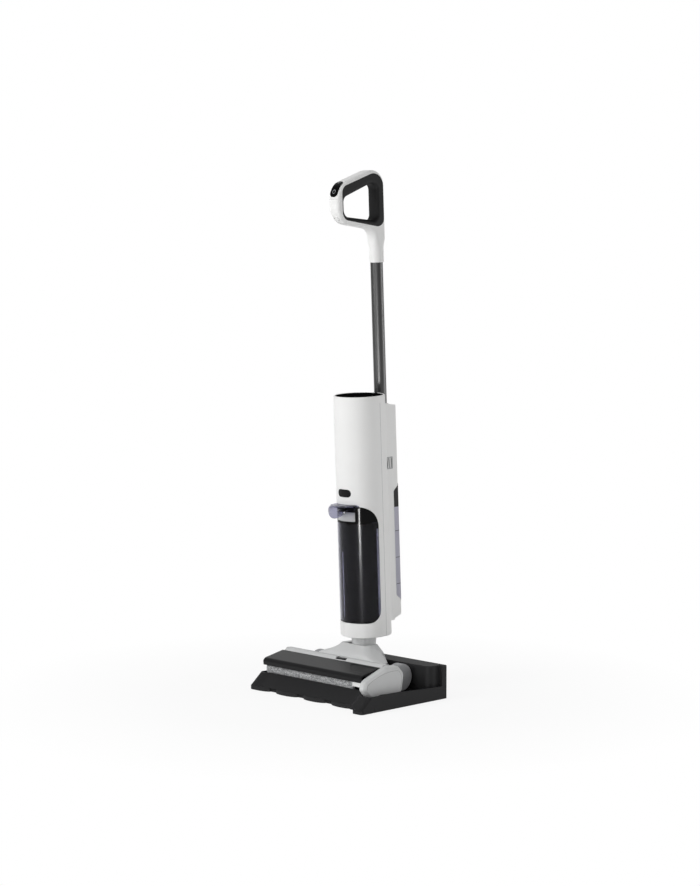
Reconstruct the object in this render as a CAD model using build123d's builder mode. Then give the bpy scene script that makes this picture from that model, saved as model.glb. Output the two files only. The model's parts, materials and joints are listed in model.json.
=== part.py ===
from build123d import *
import os
from math import cos, hypot, radians, sin, sqrt, tan

# Cordless wet and dry floor washer standing in its charging and self-cleaning dock.
# Millimetres. +Z is up, the front of the machine faces -Y, +X is its drive side.
# X = 0 is the middle plane of the machine, Y = 0 the middle of the dock's depth and
# Z = 0 the floor under the dock's feet.

os.makedirs("parts", exist_ok=True)

# ---------------------------------------------------------------- driving sizes
# dock
dock_depth = 221.5          # from the lip's foot to the back
dock_back = 128.5
dock_wall = 3.4
dock_clear_floor = 1.0      # underside of the skirt above the floor
lip_low = 10.0              # height of the sloping front's lower edge
lip_high = 35.0             # height of its upper edge
lip_run = 1.2               # how far it goes back for each mm of height
left_arm_reach = 5.0        # how far each arm stands in front of the lip
right_arm_reach = 32.0
right_arm_width = 32.0
wall_high_back = 28.0       # height of the side wall where it meets the tower
deck_high = 18.0            # the deck that the wheels stand on
deck_thick = 3.0
tower_high = 72.0
tower_depth = 44.7
tower_side_gap = 8.5        # groove between the tower and the side wall
tower_left_reach = 95.0     # tower to the left of the middle plane
tower_back_deep = 13.0      # its back wall, on top of the dock's
foot_high = 2.0
foot_r = 9.0
plate_thick = 2.0
seat_gap = 0.2
lobe_count = 4
lobe_pitch = 84.0
lobe_half = 33.0
lobe_reach = 11.0

# head
wheel_lift = 0.6            # running gap under the wheels
roller_r = 24.0
roller_core_r = 18.0
roller_bore_r = 14.5
roller_long = 262.0
roller_shift = -39.0        # middle of the roller from the middle plane
roller_y = -35.0
wheel_r = 28.7
wheel_wide = 22.0
wheel_outer_x = 127.0
wheel_y = 53.0
axle_r = 3.0
bar_front_y = -7.0
drive_side_wide = 31.0      # bar beyond the drive end of the roller
bar_low = 24.0
bar_wall = 2.2
cap_wide = 42.0
head_side_gap = 13.1        # between the end cap and the wall of the dock
tail_half = 42.0
tail_back = 82.5
chassis_thick = 2.0
head_gap = 0.3              # gap between bodies at rest
cover_side_gap = 0.4
cover_end_wide = 3.5
cover_wall = 2.2
motor_r = 10.5
motor_long = 78.0
shaft_r = 1.6
small_pulley_r = 6.0
large_pulley_r = 12.5
belt_thick = 1.2
belt_wide = 8.0
belt_inset = 17.0            # middle of the belt from the end of the bar

# neck
neck_y = 66.8
pivot_z = 83.7
barrel_r = 15.0
barrel_half = 27.4
neck_low_r = 24.5
neck_high_r = 27.3
neck_bore_r = 16.0
spigot_r = 20.0
bearing_gap = 0.05
pin_r = 4.0

# upright, in its own leaning frame: u across, v to the rear, w along the body
lean = 2.45                 # degrees, top towards the front
body_y = 73.3
body_z = 103.5
body_r = 54.0
body_low = 19.0
body_high = 528.0
body_wall = 2.4
seam_v = 7.5
rim_low = 513.7
box_half = 33.0
box_back = 79.0
box_low_front = 44.0
box_low_back = 55.0
box_high_front = 507.0
box_high_back = 501.0
box_corner = 8.0
box_blend = 11.0
neck_v = -7.3
frame_v = 5.0
frame_thick = 2.4
bay_low = 50.0
bay_high = 299.0
bay_edge_v = -6.4
bay_low_corner = 28.0
bay_high_corner = 45.0
tank_gap = 0.35
tank_wall = 2.0
tank_rear_v = 4.4
tank_inner_half = 50.3
tank_low_corner = 14.0
tank_high_corner = 26.0
lid_low = 262.0
visor_v = -50.0
visor_root_v = -46.0
visor_half = 37.5
visor_long = 35.0
visor_droop = 27.0
visor_skirt = 9.0
visor_nose = 13.0
visor_wall = 2.5
visor_round = 11.0
inlet_tube_high = 245.0
float_low = 199.0
float_high = 16.0
float_r = 17.0
filter_r = 20.0
filter_long = 24.0
rear_tank_v = 61.5
rear_tank_low = 81.0
rear_tank_high = 335.0
rear_tank_slope = 15.0
rear_tank_inner_v = 19.0
rear_tank_inner_half = 30.0
cap_w = 285.0
valve_r = 6.0
valve_long = 13.0
rod_r = 13.2
rod_v = 63.4
rod_wall = 1.2
rod_low = 440.0
stem_low = 802.0
stem_r = 15.0
stem_v = 64.0
stem_round_top = 835.0
stem_top = 851.0
stem_deep = 30.5
rod_plug = 30.0
grip_half = 15.0
grip_round = 7.3
grip_rear_v = 79.0
grip_front_v = -57.0
grip_front_r = 40.0
pad_half = 11.0
pad_thick = 2.0
pad_low_angle = 8.0         # above the front, around the upper front round
pad_high_angle = 66.0
power_angle = 24.0
mode_angle = 59.0
power_r = 6.5
mode_r = 5.0
clean_angle = -41.0
clean_key_half = 6.5
clean_key_high = 5.0
button_above_bay = 27.0
button_long = 36.5
button_high = 16.0
button_proud = 0.3
button_deep = 4.5
key_travel = 0.8
key_deep = 3.2
key_proud = 0.6
key_gap = 0.3


# ---------------------------------------------------------------- derived places
roller_left = roller_shift - roller_long / 2
roller_right = roller_left + roller_long
bar_left = roller_left
bar_right = roller_right + drive_side_wide
cap_outer_x = bar_right + cap_wide
cover_left = roller_left - cover_end_wide
cover_right = bar_right - cover_side_gap
belt_x = bar_right + belt_inset
dock_half = cap_outer_x + head_side_gap + dock_wall
dock_width = 2 * dock_half
button_w = bay_high + button_above_bay
lip_y = dock_back - dock_depth
lip_rise = lip_high - lip_low
left_arm_y = lip_y - left_arm_reach
right_arm_y = lip_y - right_arm_reach
right_arm_x = dock_half - right_arm_width
tower_front = dock_back - tower_depth
roller_z = deck_high + roller_r
wheel_z = deck_high + wheel_lift + wheel_r
lean_rad = radians(lean)
upright = Plane(
    origin=(0, body_y, body_z),
    x_dir=(1, 0, 0),
    z_dir=(0, -sin(lean_rad), cos(lean_rad)),
)
along_body = Axis(upright.origin, upright.z_dir)


def level(height):
    """Plane across the body at a height along it."""
    return upright.offset(height)


def flank(across):
    """Plane facing +X: sketch x runs to the rear, sketch y along the body."""
    middle = upright.from_local_coords((across, 0, 0))
    return Plane(origin=middle, x_dir=upright.y_dir, z_dir=(1, 0, 0))


def face_on(depth):
    """Plane facing the front: sketch x runs across, sketch y along the body."""
    middle = upright.from_local_coords((0, depth, 0))
    return Plane(origin=middle, x_dir=(1, 0, 0), z_dir=-upright.y_dir)


def side_view(across):
    """Plane facing +X in the dock's frame: sketch x is Y, sketch y is Z."""
    return Plane(origin=(across, 0, 0), x_dir=(0, 1, 0), z_dir=(1, 0, 0))


def front_view(depth):
    """Plane facing -Y in the dock's frame: sketch x is X, sketch y is Z."""
    return Plane(origin=(0, depth, 0), x_dir=(1, 0, 0), z_dir=(0, -1, 0))


def points_of(outline):
    """Corner points of an outline whose corners are (x, y, radius)."""
    return [(x, y) for x, y, radius in outline]


def radii_of(outline):
    """Corner radii of an outline whose corners are (x, y, radius)."""
    return [radius for x, y, radius in outline]


# ================================================================ dock
def dock_outline(inset, height):
    """Plan of the sloping front and the sides at a height, drawn in by inset."""
    back = (height - lip_low) * lip_run + inset
    side = dock_half - inset
    round_in = max(9 - inset, 1)
    return [
        (-side, dock_back - inset, 0),
        (-side, left_arm_y + back, round_in),
        (-side + 14, left_arm_y + back, 11),
        (-side + 28, lip_y + back, 11),
        (right_arm_x - 24 + inset, lip_y + back, 26),
        (right_arm_x + inset, right_arm_y + back, 12),
        (side, right_arm_y + back, round_in),
        (side, dock_back - inset, 0),
    ]


slope_up = (lip_high + 4 - lip_low) * hypot(lip_run, 1)
pit_low_rise = (lip_high + 6 - deck_high) * hypot(lip_run, 1)
outline_low = dock_outline(0, lip_low)
outline_pit = dock_outline(dock_wall, deck_high)
tray_left = roller_left - 3
tray_right = roller_right + 5
tray_front = roller_y - roller_r - 1
tray_rear = bar_front_y - 3
tray_low = deck_high - 9
tray_wall = 1.6
tray_fit = 0.3
skirt_y = lip_y + 8
under_front = skirt_y + dock_wall
rest_half = 7.0
rest_y = 4.0
rest_places = [(roller_left + 22, rest_y), (bar_right + 25, rest_y)]
inlet_x = 60.0
inlet_z = 48.0
inlet_r = 5.6
pin_x = 14.0
pin_z = 44.0
pin_rod_r = 2.0
screw_r = 3.0
screw_head_high = 0.8
screw_long = 8.2
foot_x = dock_half - 22
screw_x = foot_x - foot_r - screw_r - 9.5
screw_front_y = under_front + 11.6
screw_back_y = dock_back - 24.5
dock_screw_places = [
    (-screw_x, screw_front_y),
    (screw_x, screw_front_y),
    (-screw_x, screw_back_y),
    (screw_x, screw_back_y),
]
foot_front_y = under_front + foot_r + 0.6
foot_back_y = dock_back - 16.5
foot_seat = 1.0
foot_places = [
    (-foot_x, foot_front_y),
    (foot_x, foot_front_y),
    (-foot_x, foot_back_y),
    (foot_x, foot_back_y),
]
plate_low = foot_high

with BuildPart() as dock_base:
    # sloping front, arms and walls
    with BuildSketch(Plane.XY.offset(lip_low)):
        with BuildLine():
            FilletPolyline(*points_of(outline_low), radius=radii_of(outline_low), close=True)
        make_face()
    extrude(amount=slope_up, dir=(0, lip_run, 1))
    with BuildSketch(Plane.XY.offset(lip_low)):
        with Locations((0, (dock_back - 40) / 2)):
            Rectangle(dock_width, dock_back + 40)
    extrude(amount=lip_high - lip_low + 4)
    with BuildSketch(Plane.XY.offset(lip_low - 1)):
        with Locations((0, dock_back + 40)):
            Rectangle(dock_width + 2, 80)
    extrude(amount=80, mode=Mode.SUBTRACT)
    # skirt down to the floor with its row of lobes
    with BuildSketch(Plane.XY.offset(dock_clear_floor)):
        with Locations((0, (dock_back + skirt_y) / 2)):
            Rectangle(dock_width, dock_back - skirt_y)
        for lobe in range(lobe_count):
            with Locations((-dock_half + 21 + lobe * lobe_pitch, skirt_y)):
                Ellipse(lobe_half, lobe_reach)
        with Locations((dock_half - right_arm_width / 2 + 1, (skirt_y + right_arm_y) / 2 + 4)):
            RectangleRounded(right_arm_width - 2, skirt_y - right_arm_y, 7)
        with Locations((-dock_half + 9, skirt_y - 2)):
            RectangleRounded(18, 18, 7)
    extrude(amount=lip_low - dock_clear_floor)
    with BuildSketch(Plane.XY):
        Rectangle(dock_width + 40, dock_depth * 3)
        Rectangle(dock_width, dock_depth * 3, mode=Mode.SUBTRACT)
    extrude(amount=lip_high, mode=Mode.SUBTRACT)
    # the side walls fall gently towards the back
    with BuildSketch(side_view(-dock_half - 1)):
        with BuildLine():
            Polyline(
                (right_arm_y - 10, lip_high - 2),
                (lip_y + 20, lip_high - 2),
                (lip_y + lip_run * lip_rise, lip_high),
                (dock_back - 15, wall_high_back),
                (dock_back + 5, wall_high_back),
                (dock_back + 5, lip_high + 60),
                (right_arm_y - 10, lip_high + 60),
                close=True,
            )
        make_face()
    extrude(amount=dock_width + 2, mode=Mode.SUBTRACT)
    # pit that the head stands in
    with BuildSketch(Plane.XY.offset(deck_high)):
        with BuildLine():
            FilletPolyline(*points_of(outline_pit), radius=radii_of(outline_pit), close=True)
        make_face()
    extrude(amount=pit_low_rise, dir=(0, lip_run, 1), mode=Mode.SUBTRACT)
    with BuildSketch(Plane.XY.offset(deck_high)):
        with Locations((0, (dock_back - dock_wall - 40) / 2)):
            Rectangle(dock_width - 2 * dock_wall, dock_back - dock_wall + 40)
    extrude(amount=40, mode=Mode.SUBTRACT)
    # hollow underside
    with BuildSketch(Plane.XY.offset(dock_clear_floor)):
        with Locations((0, (dock_back - dock_wall + under_front) / 2)):
            Rectangle(dock_width - 2 * dock_wall, dock_back - dock_wall - under_front)
    extrude(amount=deck_high - deck_thick - dock_clear_floor, mode=Mode.SUBTRACT)
    # opening for the wash tray
    with BuildSketch(Plane.XY.offset(deck_high - deck_thick - 1)):
        with Locations(((tray_left + tray_right) / 2, (tray_front + tray_rear) / 2)):
            Rectangle(tray_right - tray_left, tray_rear - tray_front)
    extrude(amount=deck_thick + 2, mode=Mode.SUBTRACT)
    # rests under the two ends of the head
    with BuildSketch(Plane.XY.offset(deck_high)):
        with Locations(*rest_places):
            RectangleRounded(2 * rest_half, 16, 3)
    extrude(amount=bar_low - chassis_thick - head_gap - deck_high)
    # bosses for the cover screws
    with BuildSketch(Plane.XY.offset(plate_low + plate_thick)):
        with Locations(*dock_screw_places):
            Circle(screw_r + 2)
    extrude(amount=deck_high - deck_thick - plate_low - plate_thick)
    with BuildSketch(Plane.XY.offset(dock_clear_floor)):
        with Locations(*dock_screw_places):
            Circle(screw_r / 2)
    extrude(amount=12, mode=Mode.SUBTRACT)
dock_base.part.label = "dock_base"
export_step(dock_base.part, "parts/dock_base.step")

with BuildPart() as dock_bottom_plate:
    with BuildSketch(Plane.XY.offset(plate_low)):
        with Locations((0, (dock_back - dock_wall + under_front) / 2)):
            RectangleRounded(
                dock_width - 2 * dock_wall - 0.6,
                dock_back - dock_wall - under_front - 0.6,
                2,
            )
        with Locations(*dock_screw_places):
            Circle(screw_r / 2 + 0.1, mode=Mode.SUBTRACT)
    extrude(amount=plate_thick)
    # seats of the feet and of the screw heads
    with BuildSketch(Plane.XY.offset(plate_low)):
        with Locations(*foot_places):
            Circle(foot_r + seat_gap)
    extrude(amount=foot_seat, mode=Mode.SUBTRACT)
    with BuildSketch(Plane.XY.offset(plate_low)):
        with Locations(*dock_screw_places):
            Circle(screw_r + seat_gap)
    extrude(amount=screw_head_high, mode=Mode.SUBTRACT)
dock_bottom_plate.part.label = "dock_bottom_plate"
export_step(dock_bottom_plate.part, "parts/dock_bottom_plate.step")

with BuildPart() as dock_feet:
    with BuildSketch(Plane.XY):
        with Locations(*foot_places):
            Circle(foot_r)
    extrude(amount=foot_high + foot_seat)
    chamfer(dock_feet.faces().group_by(Axis.Z)[0].edges(), 0.6)
dock_feet.part.label = "dock_feet"
export_step(dock_feet.part, "parts/dock_feet.step")

with BuildPart() as dock_screws:
    with BuildSketch(Plane.XY.offset(plate_low)):
        with Locations(*dock_screw_places):
            Circle(screw_r)
    extrude(amount=screw_head_high)
    with BuildSketch(Plane.XY.offset(plate_low + screw_head_high)):
        with Locations(*dock_screw_places):
            Circle(screw_r / 2)
    extrude(amount=screw_long)
dock_screws.part.label = "dock_screws"
export_step(dock_screws.part, "parts/dock_screws.step")

with BuildPart() as dock_wash_tray:
    tray_wide = tray_right - tray_left
    tray_deep = tray_rear - tray_front
    tray_mid = ((tray_left + tray_right) / 2, (tray_front + tray_rear) / 2)
    with BuildSketch(Plane.XY.offset(tray_low)):
        with Locations(tray_mid):
            RectangleRounded(tray_wide - 2 * tray_fit, tray_deep - 2 * tray_fit, 5)
    extrude(amount=deck_high - tray_low)
    with BuildSketch(Plane.XY.offset(deck_high)):
        with Locations(tray_mid):
            RectangleRounded(tray_wide + 5, tray_deep + 5, 6)
    extrude(amount=tray_wall)
    with BuildSketch(Plane.XY.offset(tray_low + tray_wall)):
        with Locations(tray_mid):
            RectangleRounded(
                tray_wide - 2 * (tray_fit + tray_wall),
                tray_deep - 2 * (tray_fit + tray_wall),
                4,
            )
    extrude(amount=20, mode=Mode.SUBTRACT)
    # ribs that comb the roller while it is washed
    with BuildSketch(Plane.XY.offset(tray_low + tray_wall)):
        with Locations(tray_mid):
            with GridLocations((tray_wide - 30) / 8, 0, 9, 1):
                Rectangle(2, tray_deep - 2 * (tray_fit + tray_wall))
    extrude(amount=3)
dock_wash_tray.part.label = "dock_wash_tray"
export_step(dock_wash_tray.part, "parts/dock_wash_tray.step")

tower_right = dock_half - tower_side_gap
tower_left = -tower_left_reach
tower_wall = 2.6
tower_inner_back = dock_back - dock_wall - 0.3

with BuildPart() as dock_tower:
    with BuildSketch(Plane.XY.offset(deck_high)) as tower_plan:
        with BuildLine():
            FilletPolyline(
                (tower_left, tower_inner_back),
                (tower_left, tower_front),
                (tower_right, tower_front),
                (tower_right, tower_inner_back),
                radius=[0, 9, 14, 0],
                close=True,
            )
        make_face()
    extrude(amount=tower_high - deck_high)
    with BuildSketch(Plane.XY.offset(wall_high_back)):
        with Locations(((tower_left + dock_half) / 2, dock_back - tower_back_deep / 2)):
            Rectangle(dock_half - tower_left, tower_back_deep)
    extrude(amount=tower_high - wall_high_back)
    top_edges = dock_tower.faces().sort_by(Axis.Z)[-1].edges()
    fillet(top_edges, 2.2)
    with BuildSketch(Plane.XY.offset(deck_high)):
        with BuildLine():
            FilletPolyline(
                (tower_left + tower_wall, tower_inner_back - tower_wall),
                (tower_left + tower_wall, tower_front + tower_wall),
                (tower_right - tower_wall, tower_front + tower_wall),
                (tower_right - tower_wall, tower_inner_back - tower_wall),
                radius=[2, 6, 11, 2],
                close=True,
            )
        make_face()
    extrude(amount=tower_high - deck_high - tower_wall, mode=Mode.SUBTRACT)
    with BuildSketch(front_view(tower_front - 1)):
        with Locations((-pin_x, pin_z), (pin_x, pin_z)):
            Circle(pin_rod_r + 0.1)
    extrude(amount=-tower_wall - 2, mode=Mode.SUBTRACT)
    with BuildSketch(front_view(dock_back + 1)):
        with Locations((inlet_x, inlet_z)):
            Circle(inlet_r + 0.1)
    extrude(amount=20, mode=Mode.SUBTRACT)
    # locating notch low on the front face
    with BuildSketch(front_view(tower_front - 1)):
        with Locations((tower_right - 44, deck_high + 10)):
            Rectangle(12, 5)
    extrude(amount=-2.5, mode=Mode.SUBTRACT)
dock_tower.part.label = "dock_tower"
export_step(dock_tower.part, "parts/dock_tower.step")

board_front = tower_front + tower_wall
with BuildPart() as dock_circuit_board:
    with BuildSketch(front_view(board_front)):
        with Locations((0, 44)):
            Rectangle(92, 40)
    extrude(amount=-1.6)
    with BuildSketch(front_view(board_front + 1.6)):
        with Locations((-26, 50), (24, 40)):
            Rectangle(16, 14)
    extrude(amount=-7)
dock_circuit_board.part.label = "dock_circuit_board"
export_step(dock_circuit_board.part, "parts/dock_circuit_board.step")

with BuildPart() as dock_contact_pins:
    with BuildSketch(front_view(tail_back + head_gap)):
        with Locations((-pin_x, pin_z), (pin_x, pin_z)):
            Circle(pin_rod_r)
    extrude(amount=-(board_front - tail_back - head_gap))
dock_contact_pins.part.label = "dock_contact_pins"
export_step(dock_contact_pins.part, "parts/dock_contact_pins.step")

with BuildPart() as dock_power_inlet:
    with BuildSketch(front_view(dock_back)):
        with Locations((inlet_x, inlet_z)):
            Circle(inlet_r)
            Circle(2.9, mode=Mode.SUBTRACT)
    extrude(amount=12)
    with BuildSketch(front_view(dock_back - 10)):
        with Locations((inlet_x, inlet_z)):
            Circle(inlet_r)
    extrude(amount=2)
    with BuildSketch(front_view(dock_back - 1.5)):
        with Locations((inlet_x, inlet_z)):
            Circle(0.9)
    extrude(amount=9)
dock_power_inlet.part.label = "dock_power_inlet"
export_step(dock_power_inlet.part, "parts/dock_power_inlet.step")


# ================================================================ head
duct_half = 40.0
duct_low = 27.0
duct_high = 44.0
duct_wall = 1.6
latch_half = 15.0
latch_deep = 8.0
latch_y = 0.0
latch_low = 74.6
latch_high = 79.6
latch_travel = 3.0
motor_y = 8.0
motor_z = 58.0
motor_left = bar_right - bar_wall - 6.8 - motor_long
bar_rear_low = 14.0
bar_rear = 23.0
bar_high = 81.0
bar_outline = [
    (bar_front_y, bar_low, 1),
    (bar_front_y, 74.5, 1.5),
    (2, bar_high, 8),
    (17, bar_high - 1.5, 7),
    (bar_rear, 62, 12),
    (bar_rear - 2, 38, 12),
    (bar_rear_low, bar_low, 4),
]
bar_inner = [
    (bar_front_y + bar_wall, bar_low - 1, 0),
    (bar_front_y + bar_wall, 73.5, 0),
    (3, bar_high - bar_wall, 5),
    (16, bar_high - 1.5 - bar_wall, 5),
    (bar_rear - bar_wall, 61, 9),
    (bar_rear - 2 - bar_wall, 39, 9),
    (bar_rear_low - 1.5, bar_low - 1, 0),
]
dome_low = 66.0
dome_high = 103.5
dome_corner = 12.0
dome_inner_corner = 6.0
slot_half = barrel_half + 0.4
dome_sections = [
    # height, half width and depth of the shoulders, half width of the back, its depth
    (dome_low, 103.5, 10, 41, 48, tail_back),
    (82, 84, 12, 42, 46, tail_back - 1),
    (92, 56, 20, 50, 42, tail_back - 3),
    (dome_high, 42, 34, 56, 36, 74),
]


def dome_outline(half, front, side_back, back_half, back, corner):
    """Six-sided plan of the shoulder that rises to the neck."""
    return [
        (-half, front, corner),
        (half, front, corner),
        (half, side_back, corner),
        (back_half, back, corner),
        (-back_half, back, corner),
        (-half, side_back, corner),
    ]


with BuildPart() as head_housing:
    with BuildSketch(side_view(bar_left)):
        with BuildLine():
            FilletPolyline(*points_of(bar_outline), radius=radii_of(bar_outline), close=True)
        make_face()
    extrude(amount=bar_right - bar_left)
    for height, half, front, side_back, back_half, back in dome_sections:
        with BuildSketch(Plane.XY.offset(height)):
            outline = dome_outline(half, front, side_back, back_half, back, dome_corner)
            with BuildLine():
                FilletPolyline(*points_of(outline), radius=radii_of(outline), close=True)
            make_face()
    loft()
    # hollow of the bar
    with BuildSketch(side_view(bar_left + bar_wall)):
        with BuildLine():
            FilletPolyline(*points_of(bar_inner), radius=radii_of(bar_inner), close=True)
        make_face()
    extrude(amount=bar_right - bar_left - 2 * bar_wall, mode=Mode.SUBTRACT)
    # hollow of the shoulder
    with BuildSketch(Plane.XY.offset(dome_low - 1)):
        outline = dome_outline(102, 14, 38, 44, tail_back - 4, dome_inner_corner)
        with BuildLine():
            FilletPolyline(*points_of(outline), radius=radii_of(outline), close=True)
        make_face()
    extrude(amount=10, mode=Mode.SUBTRACT)
    # slot that the neck leans back in
    with BuildSketch(side_view(-slot_half)):
        with BuildLine():
            Polyline(
                (neck_y - neck_low_r - 3.2, dome_high + 5),
                (neck_y - neck_low_r - 3.2, pivot_z + 4),
                (neck_y - barrel_r - 1.4, pivot_z - 6),
                (neck_y - barrel_r - 1.4, dome_low - 2),
                (tail_back + 5, dome_low - 2),
                (tail_back + 5, dome_high + 5),
                close=True,
            )
        make_face()
    extrude(amount=2 * slot_half, mode=Mode.SUBTRACT)
    # way through for the suction duct
    with BuildSketch(side_view(-duct_half - 0.5)):
        with Locations((bar_front_y + 15, (duct_low + duct_high) / 2)):
            Rectangle(40, duct_high - duct_low + 1)
    extrude(amount=2 * duct_half + 1, mode=Mode.SUBTRACT)
    # seat of the cover latch
    with BuildSketch(side_view(-latch_half - 0.4)):
        with Locations((latch_y + latch_travel / 2, latch_low + 10)):
            Rectangle(latch_deep + latch_travel + 0.6, 20)
    extrude(amount=2 * latch_half + 0.8, mode=Mode.SUBTRACT)
    # shaft hole of the roller motor
    with BuildSketch(side_view(bar_right - bar_wall - 1)):
        with Locations((motor_y, motor_z)):
            Circle(shaft_r + 0.4)
    extrude(amount=bar_wall + 2, mode=Mode.SUBTRACT)
    # holes for the pivot pins
    with BuildSketch(side_view(-70)):
        with Locations((neck_y, pivot_z)):
            Circle(pin_r + bearing_gap)
    extrude(amount=140, mode=Mode.SUBTRACT)
head_housing.part.label = "head_housing"
export_step(head_housing.part, "parts/head_housing.step")

# ---------------------------------------------------------------- head frame
arm_outer_x = wheel_outer_x - wheel_wide - 2.5
arm_thick = 5.0
tail_high = 64.0
tail_wall = 2.0
tail_front = bar_rear + 2.5
chassis_low = bar_low - chassis_thick
side_arm_thick = 2.4
chassis_right = cap_outer_x - 7

with BuildPart() as head_chassis:
    with BuildSketch(Plane.XY.offset(chassis_low)):
        with Locations(((bar_left + chassis_right) / 2, 3.5)):
            RectangleRounded(chassis_right - bar_left, 20, 3)
        with Locations((0, 36)):
            Rectangle(2 * arm_outer_x, 52)
        with Locations((0, (tail_back + 10) / 2)):
            Rectangle(2 * tail_half, tail_back - 10)
    extrude(amount=chassis_thick)
    # tail that carries the charging contacts and the duct
    with BuildSketch(Plane.XY.offset(bar_low)):
        with Locations((0, (tail_back + tail_front) / 2)):
            Rectangle(2 * tail_half, tail_back - tail_front)
            Rectangle(
                2 * (tail_half - tail_wall),
                tail_back - tail_front - 2 * tail_wall,
                mode=Mode.SUBTRACT,
            )
    extrude(amount=tail_high - bar_low)
    with BuildSketch(side_view(-duct_half)):
        with Locations((tail_front + 1, (bar_low + duct_high + 0.5) / 2)):
            Rectangle(8, duct_high - bar_low + 0.5)
    extrude(amount=2 * duct_half, mode=Mode.SUBTRACT)
    with BuildSketch(front_view(tail_back + 1)):
        with Locations((-pin_x, pin_z), (pin_x, pin_z)):
            RectangleRounded(9, 14, 2)
    extrude(amount=tail_wall + 2, mode=Mode.SUBTRACT)
    # arms that hold the wheel axles
    for across in (-arm_outer_x, arm_outer_x - arm_thick):
        with BuildSketch(side_view(across)):
            with BuildLine():
                FilletPolyline(
                    (tail_front + 2, bar_low),
                    (wheel_y + 7, bar_low),
                    (wheel_y + 7, wheel_z + 7),
                    (wheel_y - 9, wheel_z + 7),
                    (tail_front + 2, bar_low + 12),
                    radius=[0, 0, 6, 6, 4],
                    close=True,
                )
            make_face()
            with Locations((wheel_y, wheel_z)):
                Circle(axle_r, mode=Mode.SUBTRACT)
        extrude(amount=arm_thick)
    # bearing arm at the free end of the roller
    with BuildSketch(side_view(roller_left - 0.6 - side_arm_thick)):
        with BuildLine():
            FilletPolyline(
                (12, chassis_low),
                (12, chassis_low + 20),
                (roller_y - 8, roller_z + 8),
                (roller_y - 8, roller_z - 8),
                (-6, chassis_low),
                radius=[0, 4, 7.5, 7.5, 0],
                close=True,
            )
        make_face()
        with Locations((roller_y, roller_z)):
            Circle(2.5 + bearing_gap, mode=Mode.SUBTRACT)
    extrude(amount=side_arm_thick)
    with BuildSketch(Plane.XY.offset(chassis_low)):
        with Locations((roller_left - 1.5, 3.5)):
            Rectangle(3, 17)
    extrude(amount=chassis_thick)
head_chassis.part.label = "head_chassis"
export_step(head_chassis.part, "parts/head_chassis.step")

# rounded corners of the cap's sections, from the front, over the top
cap_root = [(-61, 49, 3), (-59, 57.5, 4), (-8, 75.5, 8), (8, 80, 8), (22, 64, 10), (14, 25, 3), (-46, 25, 6)]
cap_full = [(-97, 45, 8), (-93, 61, 8), (-30, 84, 12), (4, 84, 12), (22, 66, 12), (14, 25, 6), (-80, 25, 8)]
cap_edge = [(-97, 45, 8), (-93, 60, 8), (-30, 83, 12), (4, 83, 12), (21, 65, 12), (13, 25, 6), (-80, 25, 8)]
cap_face = [(-92, 47, 7), (-88, 58, 7), (-29, 78, 10), (3, 78, 10), (16, 63, 10), (10, 30, 5), (-76, 30, 7)]
cap_swell = 27.0            # from the bar to the cap's full section
cap_edge_round = 4.5
cap_sections = [
    (bar_right, cap_root),
    (bar_right + cap_swell, cap_full),
    (cap_outer_x - cap_edge_round, cap_edge),
    (cap_outer_x, cap_face),
]

with BuildPart() as drive_end_cap:
    for across, outline in cap_sections:
        with BuildSketch(side_view(across)):
            with BuildLine():
                FilletPolyline(*points_of(outline), radius=radii_of(outline), close=True)
            make_face()
    loft(ruled=True)
    # room for the belt drive
    with BuildSketch(side_view(bar_right + 3)):
        with BuildLine():
            FilletPolyline(
                (roller_y - 17, roller_z - 14),
                (roller_y - 17, roller_z + 12),
                (motor_y - 4, motor_z + 11),
                (motor_y + 9, motor_z + 4),
                (motor_y + 4, roller_z - 14),
                radius=3,
                close=True,
            )
        make_face()
    extrude(amount=cap_outer_x - bar_right - 6, mode=Mode.SUBTRACT)
    with BuildSketch(side_view(bar_right - 1)):
        with Locations((roller_y, roller_z)):
            Circle(7 + bearing_gap)
        with Locations((motor_y, motor_z)):
            Circle(shaft_r + 0.4)
    extrude(amount=5, mode=Mode.SUBTRACT)
drive_end_cap.part.label = "drive_end_cap"
export_step(drive_end_cap.part, "parts/drive_end_cap.step")

with BuildPart() as suction_duct:
    with BuildSketch(Plane.XY.offset(duct_low)):
        with Locations((0, (bar_front_y + tail_back - tail_wall - 0.3) / 2)):
            Rectangle(2 * duct_half, tail_back - tail_wall - 0.3 - bar_front_y)
    extrude(amount=duct_high - duct_low)
    with BuildSketch(Plane.XY.offset(duct_high)):
        with Locations((0, neck_y)):
            Rectangle(40, 26)
    extrude(amount=pivot_z - barrel_r - 0.6 - duct_high)
    with BuildSketch(Plane.XY.offset(duct_low + duct_wall)):
        with Locations((0, (bar_front_y + tail_back - tail_wall) / 2 - 5)):
            Rectangle(2 * (duct_half - duct_wall), tail_back - tail_wall - bar_front_y)
    extrude(amount=duct_high - duct_low - 2 * duct_wall, mode=Mode.SUBTRACT)
    with BuildSketch(Plane.XY.offset(duct_low + duct_wall)):
        with Locations((0, neck_y)):
            Rectangle(40 - 2 * duct_wall, 26 - 2 * duct_wall)
    extrude(amount=60, mode=Mode.SUBTRACT)
suction_duct.part.label = "suction_duct"
export_step(suction_duct.part, "parts/suction_duct.step")

with BuildPart() as head_contacts:
    with BuildSketch(front_view(tail_back)):
        with Locations((-pin_x, pin_z), (pin_x, pin_z)):
            RectangleRounded(8.8, 13.8, 1.9)
    extrude(amount=tail_wall)
head_contacts.part.label = "head_contacts"
export_step(head_contacts.part, "parts/head_contacts.step")

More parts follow.
